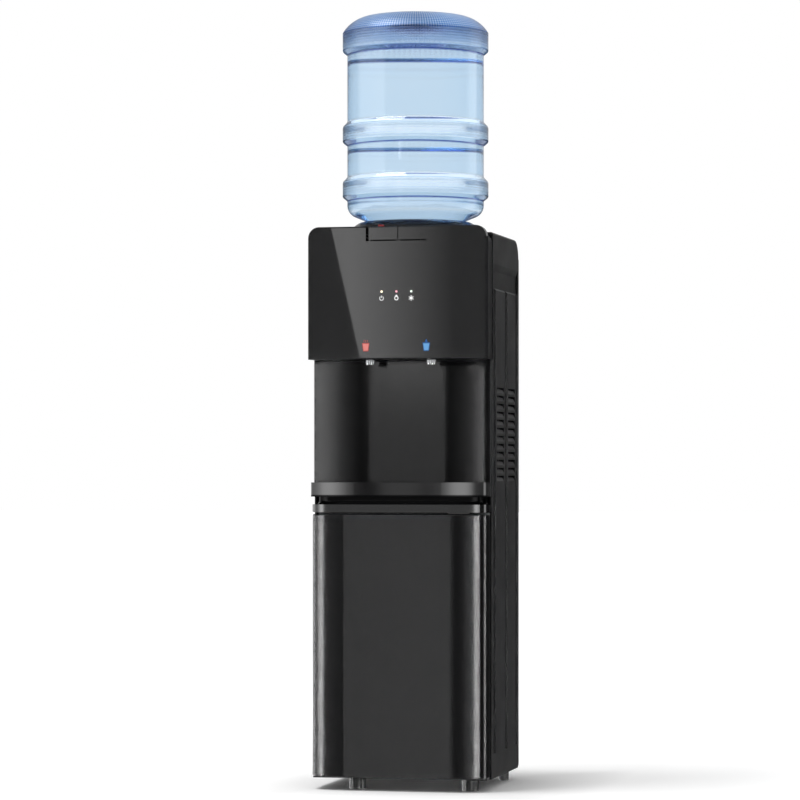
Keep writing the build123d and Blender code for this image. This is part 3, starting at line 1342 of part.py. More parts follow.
def condenser_tube():
    """One long tube: up from the compressor, back and forth down the rear, then to the drier."""
    level = COMPRESSOR_Z1 + DISCHARGE_RISE
    port = (COMPRESSOR_X - PORT_SPREAD, COMPRESSOR_Y, PORT_Z)
    points = [port, (port[0], port[1], level), (RISER_X, LINE_Y + 14.0, level)]
    points += [(RISER_X, TUBE_Y, level), (RISER_X, TUBE_Y, TOP_PASS)]
    side = -1
    for lap in range(CONDENSER_PASSES):
        z = TOP_PASS - CONDENSER_PITCH * lap
        last = lap == CONDENSER_PASSES - 1
        x = -LINE_X if last else side * PASS_HALF
        points.append((x, TUBE_Y, z))
        if not last:
            points.append((x, TUBE_Y, z - CONDENSER_PITCH))
        side = -side
    points += [(-LINE_X, TUBE_Y, level), (-LINE_X, LINE_Y, level), (-LINE_X, LINE_Y, REAR_OPEN)]
    return tube(run(points, 9.0), TUBE_RADIUS)


def condenser_wires():
    low = LOW_PASS - 6.0
    high = TOP_PASS + 6.0
    gap = TUBE_RADIUS + WIRE_RADIUS + 0.1
    wires = []
    for spot in range(WIRE_COUNT):
        x = WIRE_SPACING * (spot - (WIRE_COUNT - 1) / 2)
        for way in (-1, 1):
            wires.append(post(x, TUBE_Y + way * gap, low, high, WIRE_RADIUS))
    return wires


# Electrical fittings

def control_box():
    x0 = HOT_FEED_STUB[0] + HOSE_RADIUS + CONTROL_GAP
    y1 = HOT_Y + CONTROL_DEPTH * 0.7
    y0 = y1 - CONTROL_DEPTH
    box = block(x0, x0 + CONTROL_WIDTH, y0, y1, DECK_TOP, DECK_TOP + CONTROL_HEIGHT)
    return fillet(box.edges().group_by(Axis.Z)[-1], SHEET)


def cord_gland():
    gland = bar_y(GLAND_X, REAR_IN - 8.0, CARCASS_Y1, GLAND_Z, GLAND_BORE + 3.0)
    gland += bar_y(GLAND_X, CARCASS_Y1, CARCASS_Y1 + 8.0, GLAND_Z, GLAND_BORE + 5.0)
    gland = chamfer(gland.edges().group_by(Axis.Y)[-1], 1.5)
    return gland - bar_y(GLAND_X, REAR_IN - 9.0, CARCASS_Y1 + 9.0, GLAND_Z, GLAND_BORE)


def switch_bezel():
    wide = 2 * SWITCH_WIDTH + 3 * SHEET
    tall = SWITCH_HEIGHT + 2 * SHEET
    x0 = SWITCH_X - wide / 2
    z0 = SWITCH_Z - tall / 2
    bezel = block(x0, x0 + wide, REAR_IN - 9.0, CARCASS_Y1, z0, z0 + tall)
    bezel += block(x0 - 3, x0 + wide + 3, CARCASS_Y1, CARCASS_Y1 + 2.0, z0 - 3, z0 + tall + 3)
    for spot in range(2):
        x = x0 + SHEET + spot * (SWITCH_WIDTH + SHEET)
        low = SWITCH_Z - SWITCH_HEIGHT / 2
        bezel -= block(x, x + SWITCH_WIDTH, REAR_IN - 10, CARCASS_Y1 + 3, low, low + SWITCH_HEIGHT)
    return bezel - bar_x(x0 - 1, x0 + wide + 1, SWITCH_Y, SWITCH_Z, AXLE_RADIUS + RUN_FIT)


def rocker(spot):
    """A rocker switch, resting tilted to its on side."""
    x = SWITCH_X + spot * (SWITCH_WIDTH + SHEET) / 2
    half = SWITCH_WIDTH / 2 - SLIP
    reach = SWITCH_HEIGHT / 2 - 1.4
    points = [(-3, -5), (-3, 5), (4, reach), (8, reach - 0.2), (6.6, 0), (8, 0.2 - reach), (4, -reach)]
    body = across(points, -half, half)
    body += Rot(0, 90, 0) * Cylinder(AXLE_RADIUS, SWITCH_WIDTH + SHEET - 0.6)
    return Pos(x, SWITCH_Y, SWITCH_Z) * Rot(SWITCH_TILT, 0, 0) * body


PARTS = {
    "base_plate": base_plate(),
    "feet": feet(),
    "side_panel_right": side_panel(),
    "side_panel_left": mirror(side_panel(), about=Plane.YZ),
    "rear_panel": rear_panel(),
    "rear_top_cover": rear_top_cover(),
    "top_cover": top_cover(),
    "front_housing": front_housing(),
    "alcove": alcove(),
    "tray_shelf": tray_shelf(),
    "mid_deck": mid_deck(),
    "storage_liner": storage_liner(),
    "hinge_pins": hinge_pins(),
    "rear_screws": rear_screws(),
    "control_panel": control_panel(),
    "lens_power": lamp_lens(-1),
    "lens_heating": lamp_lens(0),
    "lens_cooling": lamp_lens(1),
    "indicator_board": indicator_board(),
    "button_hot": button(-1),
    "button_cold": button(1),
    "child_lock": child_lock(),
    "button_spring_hot": button_spring(-1),
    "button_spring_cold": button_spring(1),
    "tap_hot": tap(-1),
    "tap_cold": tap(1),
    "spout_tips": [spout_tip(-1), spout_tip(1)],
    "valve_lever_hot": valve_lever(-1),
    "valve_lever_cold": valve_lever(1),
    "valve_stem_hot": valve_stem(-1),
    "valve_stem_cold": valve_stem(1),
    "door_skin": door_skin(),
    "door_liner": door_liner(),
    "drip_tray": drip_tray(),
    "drip_grille": drip_grille(),
    "bottle_neck": bottle_part(MOUTH - 1.0, NECK_TOP),
    "bottle_shoulder": bottle_part(NECK_TOP, BODY_LEVEL),
    "bottle_body": bottle_part(BODY_LEVEL, BAND_END),
    "bottle_base": bottle_part(BAND_END, BOTTLE_END + 1.0),
    "bottle_collar": bottle_collar(),
    "well_sleeve": well_sleeve(),
    "cold_tank": cold_tank(),
    "tank_insulation": tank_insulation(),
    "evaporator_coil": evaporator_coil(),
    "hot_tank": hot_tank(),
    "heater_band": heater_band(),
    "thermal_cutouts": thermal_cutouts(),
    "silicone_hoses": silicone_hoses(),
    "drain_outlet": drain_outlet(),
    "drain_cap": drain_cap(),
    "compressor": compressor(),
    "compressor_grommets": compressor_grommets(),
    "refrigerant_lines": refrigerant_lines(),
    "condenser_tube": condenser_tube(),
    "condenser_wires": condenser_wires(),
    "control_box": control_box(),
    "cord_gland": cord_gland(),
    "switch_bezel": switch_bezel(),
    "switch_heating": rocker(-1),
    "switch_cooling": rocker(1),
}

os.makedirs("parts", exist_ok=True)
for name, shape in PARTS.items():
    solid = Compound(children=shape) if isinstance(shape, list) else shape
    export_step(solid, "parts/" + name + ".step")
print(len(PARTS), "parts")
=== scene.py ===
# %% [markdown]
# # A black water dispenser with an upturned blue bottle
#
# In this lesson you take a finished CAD model and make it look real.
# The model arrives as a fixed frame in metres: +Z is up, the front faces -Y, +X is to your right.
# You first load the frame and keep its box.

# %% Load the frame
import bpy
import bmesh
import math
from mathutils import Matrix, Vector


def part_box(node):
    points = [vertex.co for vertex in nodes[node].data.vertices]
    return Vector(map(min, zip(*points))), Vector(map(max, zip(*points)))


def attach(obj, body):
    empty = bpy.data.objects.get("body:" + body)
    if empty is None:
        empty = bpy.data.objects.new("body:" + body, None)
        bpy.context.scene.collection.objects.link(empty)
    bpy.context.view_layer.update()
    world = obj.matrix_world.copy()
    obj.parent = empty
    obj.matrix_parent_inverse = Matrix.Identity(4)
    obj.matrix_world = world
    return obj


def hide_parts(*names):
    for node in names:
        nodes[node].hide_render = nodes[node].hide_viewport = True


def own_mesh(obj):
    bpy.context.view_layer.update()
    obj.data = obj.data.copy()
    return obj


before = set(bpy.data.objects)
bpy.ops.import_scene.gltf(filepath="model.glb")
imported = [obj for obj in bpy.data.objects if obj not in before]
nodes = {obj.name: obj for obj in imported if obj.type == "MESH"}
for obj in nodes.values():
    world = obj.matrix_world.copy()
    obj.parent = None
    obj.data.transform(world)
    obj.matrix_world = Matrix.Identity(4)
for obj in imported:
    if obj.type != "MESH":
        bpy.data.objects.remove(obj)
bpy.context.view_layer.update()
scene = bpy.context.scene

# %% [markdown]
# ## Small tools
#
# Colours are written the way a picture editor shows them, as sRGB hex, and one function turns them into
# the linear numbers that the renderer wants.
# A shader is a net of nodes. You could draw it by hand in the editor. Here one small function adds a node,
# sets its fields and fills its inputs, so that one line says all of it.
# Inputs are given by name or in order. A range, for example, takes a value in this order:
# the value, the two ends it comes from, and the two ends it goes to.

# %% Small tools
def linear(colour):
    """An sRGB hex colour as linear numbers."""
    values = []
    for start in (1, 3, 5):
        part = int(colour[start:start + 2], 16) / 255
        values.append(part / 12.92 if part <= 0.04045 else ((part + 0.055) / 1.055) ** 2.4)
    return (*values, 1.0)


def fill(node, inputs):
    """Set a node's inputs, and link those that come from another node."""
    for key, value in inputs.items() if isinstance(inputs, dict) else enumerate(inputs):
        if isinstance(value, bpy.types.Node):
            value = next(socket for socket in value.outputs if socket.enabled)
        if isinstance(value, bpy.types.NodeSocket):
            node.id_data.links.new(value, node.inputs[key])
        else:
            node.inputs[key].default_value = value


def add(tree, kind, inputs=(), **settings):
    """Add a node, set its fields, then fill its inputs."""
    made = tree.nodes.new("ShaderNode" + kind)
    for field, value in settings.items():
        setattr(made, field, value)
    fill(made, inputs)
    return made


def new_material(name):
    """A material with one Principled shader."""
    made = bpy.data.materials.new(name)
    made.use_nodes = True
    return made, made.node_tree, made.node_tree.nodes["Principled BSDF"]


print("black plastic in linear numbers", [round(v, 5) for v in linear("#0F0F10")])

# %% [markdown]
# ## Materials
#
# Most of this object is black plastic, moulded in steel tools, and black plastics differ only in gloss and grain.
# A polished tool gives the control panel its mirror, and a grain etched in the tool gives the sides their sheen.
# One flat colour would be quicker, but no moulding is that even. Here broad clouds of noise vary the shade and
# the gloss a little, and fine noise stands for the grain, at a size given in millimetres.
# A real tool's grain is a few tenths of a millimetre, too fine to show in a picture of the whole object,
# so it is drawn coarser, at about 1 mm.

# %% Plastics
CLOUD_MM = 70.0
PALER = 1.12
NOISE_ENDS = (0.3, 0.7)


def plastic(name, colour, rough, uneven, grain_mm, depth_mm, ior=1.5):
    """A moulded plastic: two close shades, uneven gloss and a fine grain."""
    made, tree, shader = new_material(name)
    place = add(tree, "TexCoord").outputs["Object"]
    broad = add(tree, "TexNoise", {"Vector": place, "Scale": 1000 / CLOUD_MM, "Detail": 3.0})
    fine = add(tree, "TexNoise", {"Vector": place, "Scale": 1000 / grain_mm, "Detail": 2.0})
    dark = linear(colour)
    pale = (*(min(1.0, v * PALER) for v in dark[:3]), 1.0)
    shades = add(tree, "Mix", {"Factor": broad, "A": dark, "B": pale}, data_type="RGBA")
    gloss = add(tree, "MapRange", (broad, *NOISE_ENDS, rough - uneven, rough + uneven))
    grain = add(tree, "Bump", {"Height": fine, "Strength": 1.0, "Distance": depth_mm / 1000})
    fill(shader, {"Base Color": shades, "Roughness": gloss, "Normal": grain, "IOR": ior})
    return made


# A polished tool: a near mirror with the faintest waviness.
piano_black = plastic("polished_black_abs", "#0F0F10", 0.016, 0.004, 9.0, 0.0004)
# A lightly polished tool: the door mirrors broad soft bands and no detail.
gloss_black = plastic("glossy_black_abs", "#0F0F10", 0.13, 0.002, 1.2, 0.0001)
# A stoned tool: the tray's highlights stay bright, with soft edges.
tray_black = plastic("semi_gloss_black_abs", "#0F0F10", 0.11, 0.012, 1.2, 0.0006)
# A fine silk: the alcove's cheeks fade evenly from light to dark.
alcove_black = plastic("silk_black_abs", "#0F0F10", 0.13, 0.012, 0.9, 0.0006)
# An etched pebble grain: a broad grey sheen that hides scratches.
grain_black = plastic("grained_black_abs", "#101011", 0.47, 0.04, 0.7, 0.012, 1.45)
# The grained black made darker, with hardly any sheen, for the housing in the seam behind the panel: painted shade.
# hardly any sheen.
painted_shade_black = plastic("painted_shade_black_abs", "#0C0C0D", 0.42, 0.05, 0.9, 0.006, 1.3)
# Plain mouldings at the back and inside: an even, dull black.
dull_black = plastic("dull_black_abs", "#111112", 0.42, 0.05, 0.9, 0.006)
# Polystyrene sheet drawn over a mould by vacuum: pale grey with a soft gloss.
liner_grey = plastic("grey_hips_sheet", "#C4C8CB", 0.38, 0.05, 2.2, 0.010)
# Moulded polypropylene: white and a little waxy.
well_white = plastic("white_food_grade_pp", "#E6E8E8", 0.35, 0.04, 1.6, 0.004)
# Moulded acetal in its own colour: milky white with a smooth shine.
acetal = plastic("natural_acetal", "#DEDED8", 0.33, 0.03, 1.2, 0.003)
# Dyed ABS from a smooth tool: a deep red with a clear highlight.
lock_red = plastic("red_abs", "#86161A", 0.22, 0.03, 1.0, 0.002)
# Lacquer over a circuit board: green with a faint relief.
board_green = plastic("green_solder_mask", "#12502C", 0.30, 0.04, 1.4, 0.010)
# Rubber moulded against smooth steel: black with a broad shine.
foot_rubber = plastic("moulded_black_rubber", "#0F0F10", 0.20, 0.03, 0.8, 0.006)
# Soft rubber with a dusty bloom: nearly no shine.
soft_rubber = plastic("soft_black_rubber", "#141414", 0.62, 0.05, 0.6, 0.010)
# Extruded silicone: milky, between matt and glossy.
silicone = plastic("milky_silicone", "#D6D6D0", 0.42, 0.05, 1.5, 0.004)
# Foam that rose in place: cream, matt, with bubbles of about 3 mm.
foam = plastic("expanded_foam", "#E4DECE", 0.88, 0.05, 3.2, 0.35)
# Pressed mica sheet: brown and flaky, half matt.
mica = plastic("mica_band", "#8C7B62", 0.5, 0.08, 2.4, 0.03)
print("plastics done, materials so far, with the CAD's own", len(bpy.data.materials))

# %% [markdown]
# The side panels are pressed with long grooves and a recessed band near the top.
# The darkness could go into the colour, but here it goes into the sheen: the gloss level falls with
# the depth below the outer face, as painted shade inside the grooves and the band.
# The outer face is 162.5 mm from the middle and a groove's floor 158.5, and the band is shaded less than the
# grooves.

# %% Side panels
side_black_painted_shade = plastic("grained_black_side_painted_shade", "#101011", 0.47, 0.04, 0.7, 0.012, 1.45)
GROOVE_X, FACE_X = 0.1590, 0.1621
BAND_FOOT = (0.891, 0.896)
SIDE_GLOSS, GROOVE_SHADE, BAND_SHADE = 0.42, 0.32, 0.14
tree = side_black_painted_shade.node_tree
where = add(tree, "SeparateXYZ", [add(tree, "TexCoord").outputs["Object"]])
reach = add(tree, "Math", [where.outputs["X"]], operation="ABSOLUTE")
# Painted shade: the deeper below the outer face, the lower the gloss level, and less so in the band.
sunk = add(tree, "MapRange", (reach, GROOVE_X, FACE_X, 1.0, 0.0))
dull = add(tree, "MapRange", (where.outputs["Z"], *BAND_FOOT, GROOVE_SHADE, BAND_SHADE))
painted_shade = add(tree, "Math", (sunk, dull), operation="MULTIPLY")
level = add(tree, "Math", (SIDE_GLOSS, painted_shade), operation="SUBTRACT")
fill(tree.nodes["Principled BSDF"], {"Specular IOR Level": level})
print("gloss level of the sides", SIDE_GLOSS, "and in their grooves", round(SIDE_GLOSS - GROOVE_SHADE, 2))

# %% [markdown]
# Under the tray's lip runs a narrow gap that no light reaches. There the gloss level of the shelf's neck and of
# the lip's last millimetres is turned down, between two heights in metres: painted shade. A shadow alone can't do
# it, because a mirror has no shadow on it.

# %% The gap under the tray
LIT, UNLIT = 0.5, 0.03
shelf_black = plastic("glossy_black_shelf", "#0F0F10", 0.13, 0.012, 1.2, 0.0004)
# Painted shade: the gloss level is turned down in the gap under the tray's lip.
painted_gap_shade = (shelf_black, 0.511, 0.516, LIT, UNLIT), (tray_black, 0.5275, 0.5297, UNLIT, LIT)
for finish, start, end, first, last in painted_gap_shade:
    tree = finish.node_tree
    where = add(tree, "SeparateXYZ", [add(tree, "TexCoord").outputs["Object"]])
    level = add(tree, "MapRange", (where.outputs["Z"], start, end, first, last))
    fill(tree.nodes["Principled BSDF"], {"Specular IOR Level": level})
    print(finish.name, "fades over", round((end - start) * 1000, 1), "mm")

# %% [markdown]
# ## Metals
#
# The spouts, tanks, tubes and screws are bare or plated metal.
# A metal needs a metallic value of 1 and a colour that is its reflection.
# A picture of scratches would do for brushed sheet, but it has a seam. Noise has none: it is squeezed along
# one axis, so the scratches run the other way. They are drawn wider than real ones, which are too fine to show.

# %% Metals
WORN = 0.86
EVEN, ROUND_THE_TANK = (1, 1, 1), (1, 1, 14)


def metal(name, colour, rough, uneven, squeeze, grain_mm, depth_mm):
    """A bare or plated metal with scratches that run across the squeezed axis."""
    made, tree, shader = new_material(name)
    place = add(tree, "Mapping", {"Vector": add(tree, "TexCoord").outputs["Object"], "Scale": squeeze})
    fine = add(tree, "TexNoise", {"Vector": place, "Scale": 1000 / grain_mm, "Detail": 3.0})
    bright = linear(colour)
    worn = (*(v * WORN for v in bright[:3]), 1.0)
    shades = add(tree, "Mix", {"Factor": fine, "A": worn, "B": bright}, data_type="RGBA")
    gloss = add(tree, "MapRange", (fine, *NOISE_ENDS, rough - uneven, rough + uneven))
    scratch = add(tree, "Bump", {"Height": fine, "Strength": 1.0, "Distance": depth_mm / 1000})
    fill(shader, {"Base Color": shades, "Roughness": gloss, "Normal": scratch, "Metallic": 1.0})
    return made


# Chrome plated over a polish: a clear, cool mirror.
chrome = metal("bright_chrome", "#E2E4E6", 0.07, 0.02, EVEN, 3.0, 0.0005)
# Rolled sheet, brushed: streaks that run round the tank.
stainless = metal("brushed_stainless", "#BFC0BE", 0.30, 0.08, ROUND_THE_TANK, 6.0, 0.004)
# Wire pulled through a die: grey with a soft shine.
spring_wire = metal("drawn_spring_wire", "#A9AAAC", 0.24, 0.06, EVEN, 1.0, 0.001)
# Zinc plated in a barrel: pale grey and slightly cloudy.
zinc = metal("zinc_plate", "#B4B6B2", 0.34, 0.08, EVEN, 2.0, 0.003)
# Drawn copper tube: orange, with broad dull patches from handling.
copper = metal("drawn_copper", "#C07A55", 0.26, 0.08, EVEN, 12.0, 0.002)
# Powder baked on steel: black with a fine orange peel. It covers the metal, so it is made as a plastic.
powder_black = plastic("black_powder_coat", "#131314", 0.48, 0.06, 1.1, 0.020)
print("metals done, materials so far", len(bpy.data.materials))

# %% [markdown]
# ## Lamps behind lenses, and printed ink
#
# Each lens is a dark coloured dome with one bright spot where its lamp sits, a little below the middle.
# A real lamp behind clear plastic would be slow to render and noisy, so the dome itself glows near that spot.
# Printed marks are thin coats of ink that glow faintly: painted light, which keeps the print bright.

# %% Lenses and inks
LAMP_DROP = 0.0006
SPOT_EDGE = (0.0014, 0.0032)


def lens(name, node, dark, core, strength):
    """A moulded acrylic lens with a lamp behind its lower middle."""
    made, tree, shader = new_material(name)
    low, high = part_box(node)
    lamp = ((low.x + high.x) / 2, low.y, (low.z + high.z) / 2 - LAMP_DROP)
    place = add(tree, "TexCoord").outputs["Object"]
    reach = add(tree, "VectorMath", (place, lamp), operation="DISTANCE").outputs["Value"]
    hot = add(tree, "MapRange", (reach, *SPOT_EDGE, 1.0, 0.0))
    dome = add(tree, "Mix", {"Factor": hot, "A": linear(dark), "B": linear(core)}, data_type="RGBA")
    glow = add(tree, "Math", (hot, strength), operation="MULTIPLY")
    fill(shader, {"Base Color": dome, "Emission Color": linear(core), "Emission Strength": glow, "Roughness": 0.15})
    return made


def ink(name, colour, glow):
    """A satin ink, screen printed, that glows a little: painted light."""
    made = plastic(name, colour, 0.45, 0.05, 0.4, 0.002)
    shader = made.node_tree.nodes["Principled BSDF"]
    # Painted light: the ink glows a little.
    fill(shader, {"Emission Color": linear(colour), "Emission Strength": glow})
    return made


# The three lamps are on: warm white in amber, pink in red and white in green.
amber = lens("amber_lens", "lens_power", "#8A6420", "#FFF1D2", 1.1)
red = lens("red_lens", "lens_heating", "#7A1428", "#F0A8B4", 0.6)
green = lens("green_lens", "lens_cooling", "#264A34", "#EAF8EC", 0.7)
# The white ink is clean and bright. Each cup has a strong ink for its edge and a pale one for its filling.
white_ink = ink("white_ink", "#F4F4F4", 0.25)
red_ink = ink("red_ink", "#C4524E", 0.10)
pale_red_ink = ink("pale_red_ink", "#E88A84", 0.12)
blue_ink = ink("blue_ink", "#2463AC", 0.10)
pale_blue_ink = ink("pale_blue_ink", "#6FAEE4", 0.08)
print("lenses and inks done, materials so far", len(bpy.data.materials))

# %% [markdown]
# ## The bottle's plastic and the water
#
# The bottle is blown from clear polycarbonate. Its blue comes from absorption inside the wall, so thick places
# look darker, as they do on the real one. A tinted surface would look the same blue everywhere.
# The crown, the base band and the ribs carry a moulded diamond grip: two crossing waves tint it and press it in.
# Such diamonds are often only 2 or 3 mm wide. They are drawn coarser, at 4.8 mm, so that they show in the picture.
# The mesh carries a map in metres, round the bottle and along its wall, so the diamonds keep their size.
# It also carries two numbers at each point: how deep the grip is there, and how much painted shade a fold or the
# base's middle gets.

# %% Polycarbonate
bottle_plastic, tree, shader = new_material("clear_blue_polycarbonate")
tinted = add(tree, "VolumeAbsorption", {"Color": linear("#3AB8E7"), "Density": 140.0})
fill(tree.nodes["Material Output"], {"Volume": tinted})
fill(shader, {"Transmission Weight": 1.0, "IOR": 1.585})
grip = add(tree, "Attribute", attribute_name="grip").outputs["Fac"]
fold = add(tree, "Attribute", attribute_name="fold").outputs["Fac"]
print("wall tint", [round(v, 3) for v in linear("#3AB8E7")])

# %% The diamond grip
PITCH_MM = 4.8
GRIP_DEPTH_MM = 0.15
spot = add(tree, "SeparateXYZ", [add(tree, "UVMap", uv_map="wall")])
waves = []
for sense in ("ADD", "SUBTRACT"):
    slant = add(tree, "Math", (spot.outputs["X"], spot.outputs["Y"]), operation=sense)
    turns = add(tree, "Math", (slant, math.pi * 1000 / PITCH_MM), operation="MULTIPLY")
    waves.append(add(tree, "Math", [turns], operation="COSINE"))
crossed = add(tree, "Math", waves, operation="MULTIPLY")
diamond = add(tree, "MapRange", (crossed, -0.2, 0.2, 0.0, 1.0))
pressed = add(tree, "Math", (diamond, grip), operation="MULTIPLY")
fill(shader, {"Normal": add(tree, "Bump", {"Height": pressed, "Strength": 1.0, "Distance": GRIP_DEPTH_MM / 1000})})
print("diamonds in mm", PITCH_MM)

# %% [markdown]
# The grip also gets a deeper blue, and it is a little frosted. The folds and the base's middle get a deeper blue
# as well: painted shade, on top of the real absorption in the wall.

# %% Blue of the grip and the folds
FROST = 0.26
CLEAR_ROUGH = (0.02, 0.05)
lines = add(tree, "Math", (diamond, 0.6), operation="MULTIPLY")
lines = add(tree, "Math", (lines, 0.4), operation="ADD")
deep_grip = add(tree, "Math", (grip, grip), operation="MULTIPLY")
shade = add(tree, "Math", (deep_grip, lines), operation="MULTIPLY")
gripped = add(tree, "Mix", {"Factor": shade, "A": linear("#FFFFFF"), "B": linear("#0C4CA0")}, data_type="RGBA")
# Painted shade: the folds and the base's middle get a deeper blue.
blue_with_painted_folds = add(tree, "Mix", {"Factor": fold, "A": gripped, "B": linear("#1C3488")}, data_type="RGBA")
place = add(tree, "TexCoord").outputs["Object"]
wobble = add(tree, "TexNoise", {"Vector": place, "Scale": 1000 / 60.0, "Detail": 2.0})
clear = add(tree, "MapRange", (wobble, *NOISE_ENDS, *CLEAR_ROUGH))
frosted = add(tree, "Math", (grip, FROST), operation="MULTIPLY")
fill(shader, {"Base Color": blue_with_painted_folds, "Roughness": add(tree, "Math", (clear, frosted), operation="ADD")})
print("bottle plastic", len(tree.nodes), "shader nodes")

# %% [markdown]
# The water bends light as water does, less than the plastic round it. It is clear, with a breath of blue.

# %% Water
water_clear, tree, shader = new_material("drinking_water")
place = add(tree, "TexCoord").outputs["Object"]
ripple = add(tree, "TexNoise", {"Vector": place, "Scale": 1000 / 45.0, "Detail": 2.0})
breath = add(tree, "Mix", {"Factor": ripple, "A": linear("#F8FCFF"), "B": linear("#FFFFFF")}, data_type="RGBA")
fill(shader, {"Base Color": breath, "Transmission Weight": 1.0, "IOR": 1.333, "Roughness": 0.0})
print("materials so far", len(bpy.data.materials))

# %% [markdown]
# ## Dress the CAD nodes
#
# Every node keeps its own shape here and only takes a material. You could click through the pieces one by one.
# A list from material to node names shows at a glance what is made of what, and it finds a piece left out.

# %% Dress the nodes
dress = {
    piano_black: "control_panel bottle_collar button_hot button_cold",
    gloss_black: "door_skin",
    shelf_black: "tray_shelf",
    tray_black: "drip_tray drip_grille",
    alcove_black: "alcove",
    grain_black: "top_cover rear_top_cover",
    side_black_painted_shade: "side_panel_right side_panel_left",
    # The front housing takes the shaded copy of the black, which is painted shade.
    painted_shade_black: "front_housing",
    dull_black: "tap_hot tap_cold cord_gland switch_bezel switch_cooling control_box drain_outlet "
                "drain_cap mid_deck rear_panel",
    powder_black: "base_plate compressor condenser_tube condenser_wires refrigerant_lines hinge_pins",
    liner_grey: "storage_liner door_liner",
    well_white: "well_sleeve",
    acetal: "valve_lever_hot valve_lever_cold valve_stem_hot valve_stem_cold",
    amber: "lens_power",
    red: "lens_heating",
    green: "lens_cooling",
    lock_red: "child_lock switch_heating",
    board_green: "indicator_board",
    spring_wire: "button_spring_hot button_spring_cold",
    stainless: "cold_tank hot_tank",
    zinc: "rear_screws thermal_cutouts",
    chrome: "spout_tips",
    copper: "evaporator_coil",
    foam: "tank_insulation",
    mica: "heater_band",
    silicone: "silicone_hoses",
    foot_rubber: "feet",
    soft_rubber: "compressor_grommets",
    bottle_plastic: "bottle_neck bottle_shoulder bottle_body bottle_base",
}
for finish, names in dress.items():
    for name in names.split():
        nodes[name].data.materials.clear()
        nodes[name].data.materials.append(finish)
bare = sorted(set(nodes) - set(" ".join(dress.values()).split()))
print("nodes without a new material", bare)

# %% [markdown]
# ## Build the bottle
#
# The bottle is a body of revolution, so you draw half of its section and turn it. A modifier can turn a line too,
# but doing it in code lets each point carry its map and its two numbers.
# A helper rounds each corner of the section. The inner line runs beside the outer one, a wall's thickness in,
# with a thicker bead behind each fold, which is where the plastic shows as a dark blue line: partly from the bead's
# real thickness, partly from painted shade.

# %% Section tools
def rounded(points, steps=6):
    """A polyline of (radius, height, rounding) with each corner turned into an arc."""
    line = []
    for index, (r, z, bend) in enumerate(points):
        here = Vector((r, z))
        if bend == 0 or index in (0, len(points) - 1):
            line.append(here)
            continue
        back = (Vector(points[index - 1][:2]) - here).normalized()
        ahead = (Vector(points[index + 1][:2]) - here).normalized()
        half = back.angle(ahead) / 2
        reach = bend / math.tan(half)
        middle = here + (back + ahead).normalized() * (bend / math.sin(half))
        first = here + back * reach - middle
        last = here + ahead * reach - middle
        for step in range(steps + 1):
            line.append(middle + first.slerp(last, step / steps, first).normalized() * bend)
    return line


def arc(centre, radius, start, end, steps):
    """Points on an arc, angles in degrees from the radius direction."""
    angles = [math.radians(start + (end - start) * step / steps) for step in range(steps + 1)]
    return [Vector((centre[0] + radius * math.cos(a), centre[1] + radius * math.sin(a))) for a in angles]


print("a rounded corner has", len(rounded([(0, 0, 0), (9, 0, 3), (9, 9, 0)])) - 2, "points")

# %% [markdown]
# The bottle hangs 5 mm in front of the middle. The section's points become rings about that axis,
# and neighbouring rings are joined by faces. The map is as wide as the bottle's girth at its bands.

# %% Turn a section
SEGMENTS = 160
AXIS = (0.0, -0.005)
ON_AXIS_MM = 0.01
MAP_RADIUS = 0.134


def make_piece(name, mesh, finish):
    """An object from a finished mesh, with one material."""
    bmesh.ops.recalc_face_normals(mesh, faces=mesh.faces)
    data = bpy.data.meshes.new(name)
    mesh.to_mesh(data)
    mesh.free()
    data.materials.append(finish)
    made = bpy.data.objects.new(name, data)
    scene.collection.objects.link(made)
    print(name, "points", len(data.vertices), "faces", len(data.polygons))
    return made


def turned_ring(mesh, r, z):
    """A ring of points in millimetres about the bottle's axis, or one point on the axis."""
    if r < ON_AXIS_MM:
        return [mesh.verts.new((*AXIS, z / 1000))] * SEGMENTS
    ring = []
    for spot in range(SEGMENTS):
        angle = 2 * math.pi * spot / SEGMENTS
        x = AXIS[0] + r / 1000 * math.cos(angle)
        ring.append(mesh.verts.new((x, AXIS[1] + r / 1000 * math.sin(angle), z / 1000)))
    return ring


def turn_section(name, section, finish, numbers=None):
    """A closed section turned about the axis, with a map in metres and named numbers per point."""
    mesh = bmesh.new()
    layer = mesh.loops.layers.uv.new("wall")
    count = len(section)
    along = [0.0]
    for before, after in zip(section, section[1:]):
        along.append(along[-1] + (after - before).length / 1000)
    rings = [turned_ring(mesh, r, z) for r, z in section]
    around = 2 * math.pi * MAP_RADIUS / SEGMENTS
    for index in range(count):
        low, high = rings[index], rings[(index + 1) % count]
        if section[index][0] < ON_AXIS_MM and section[(index + 1) % count][0] < ON_AXIS_MM:
            continue
        for spot in range(SEGMENTS):
            after = (spot + 1) % SEGMENTS
            corners = [(low[spot], spot, index), (low[after], spot + 1, index)]
            corners += [(high[after], spot + 1, index + 1), (high[spot], spot, index + 1)]
            unique = [c for n, c in enumerate(corners) if c[0] not in [other[0] for other in corners[:n]]]
            face = mesh.faces.new([c[0] for c in unique])
            face.smooth = True
            for loop, corner in zip(face.loops, unique):
                loop[layer].uv = (corner[1] * around, along[min(corner[2], count - 1)])
    made = make_piece(name, mesh, finish)
    for label, values in (numbers or {}).items():
        layer = made.data.attributes.new(label, "FLOAT", "POINT")
        spread = []
        for (r, z), value in zip(section, values):
            spread += [value] * (1 if r < ON_AXIS_MM else SEGMENTS)
        layer.data.foreach_set("value", spread)
    return made


print("rings of", SEGMENTS, "points,", round(2000 * math.pi * MAP_RADIUS / SEGMENTS, 1), "mm apart at the bands")

# %% [markdown]
# The heights below are the CAD's own, in millimetres: the mouth, the neck, the cone, the shoulder, two ribs,
# the base band and the crown with its hollow. Each fold is the lower edge of a rib or of the base band.

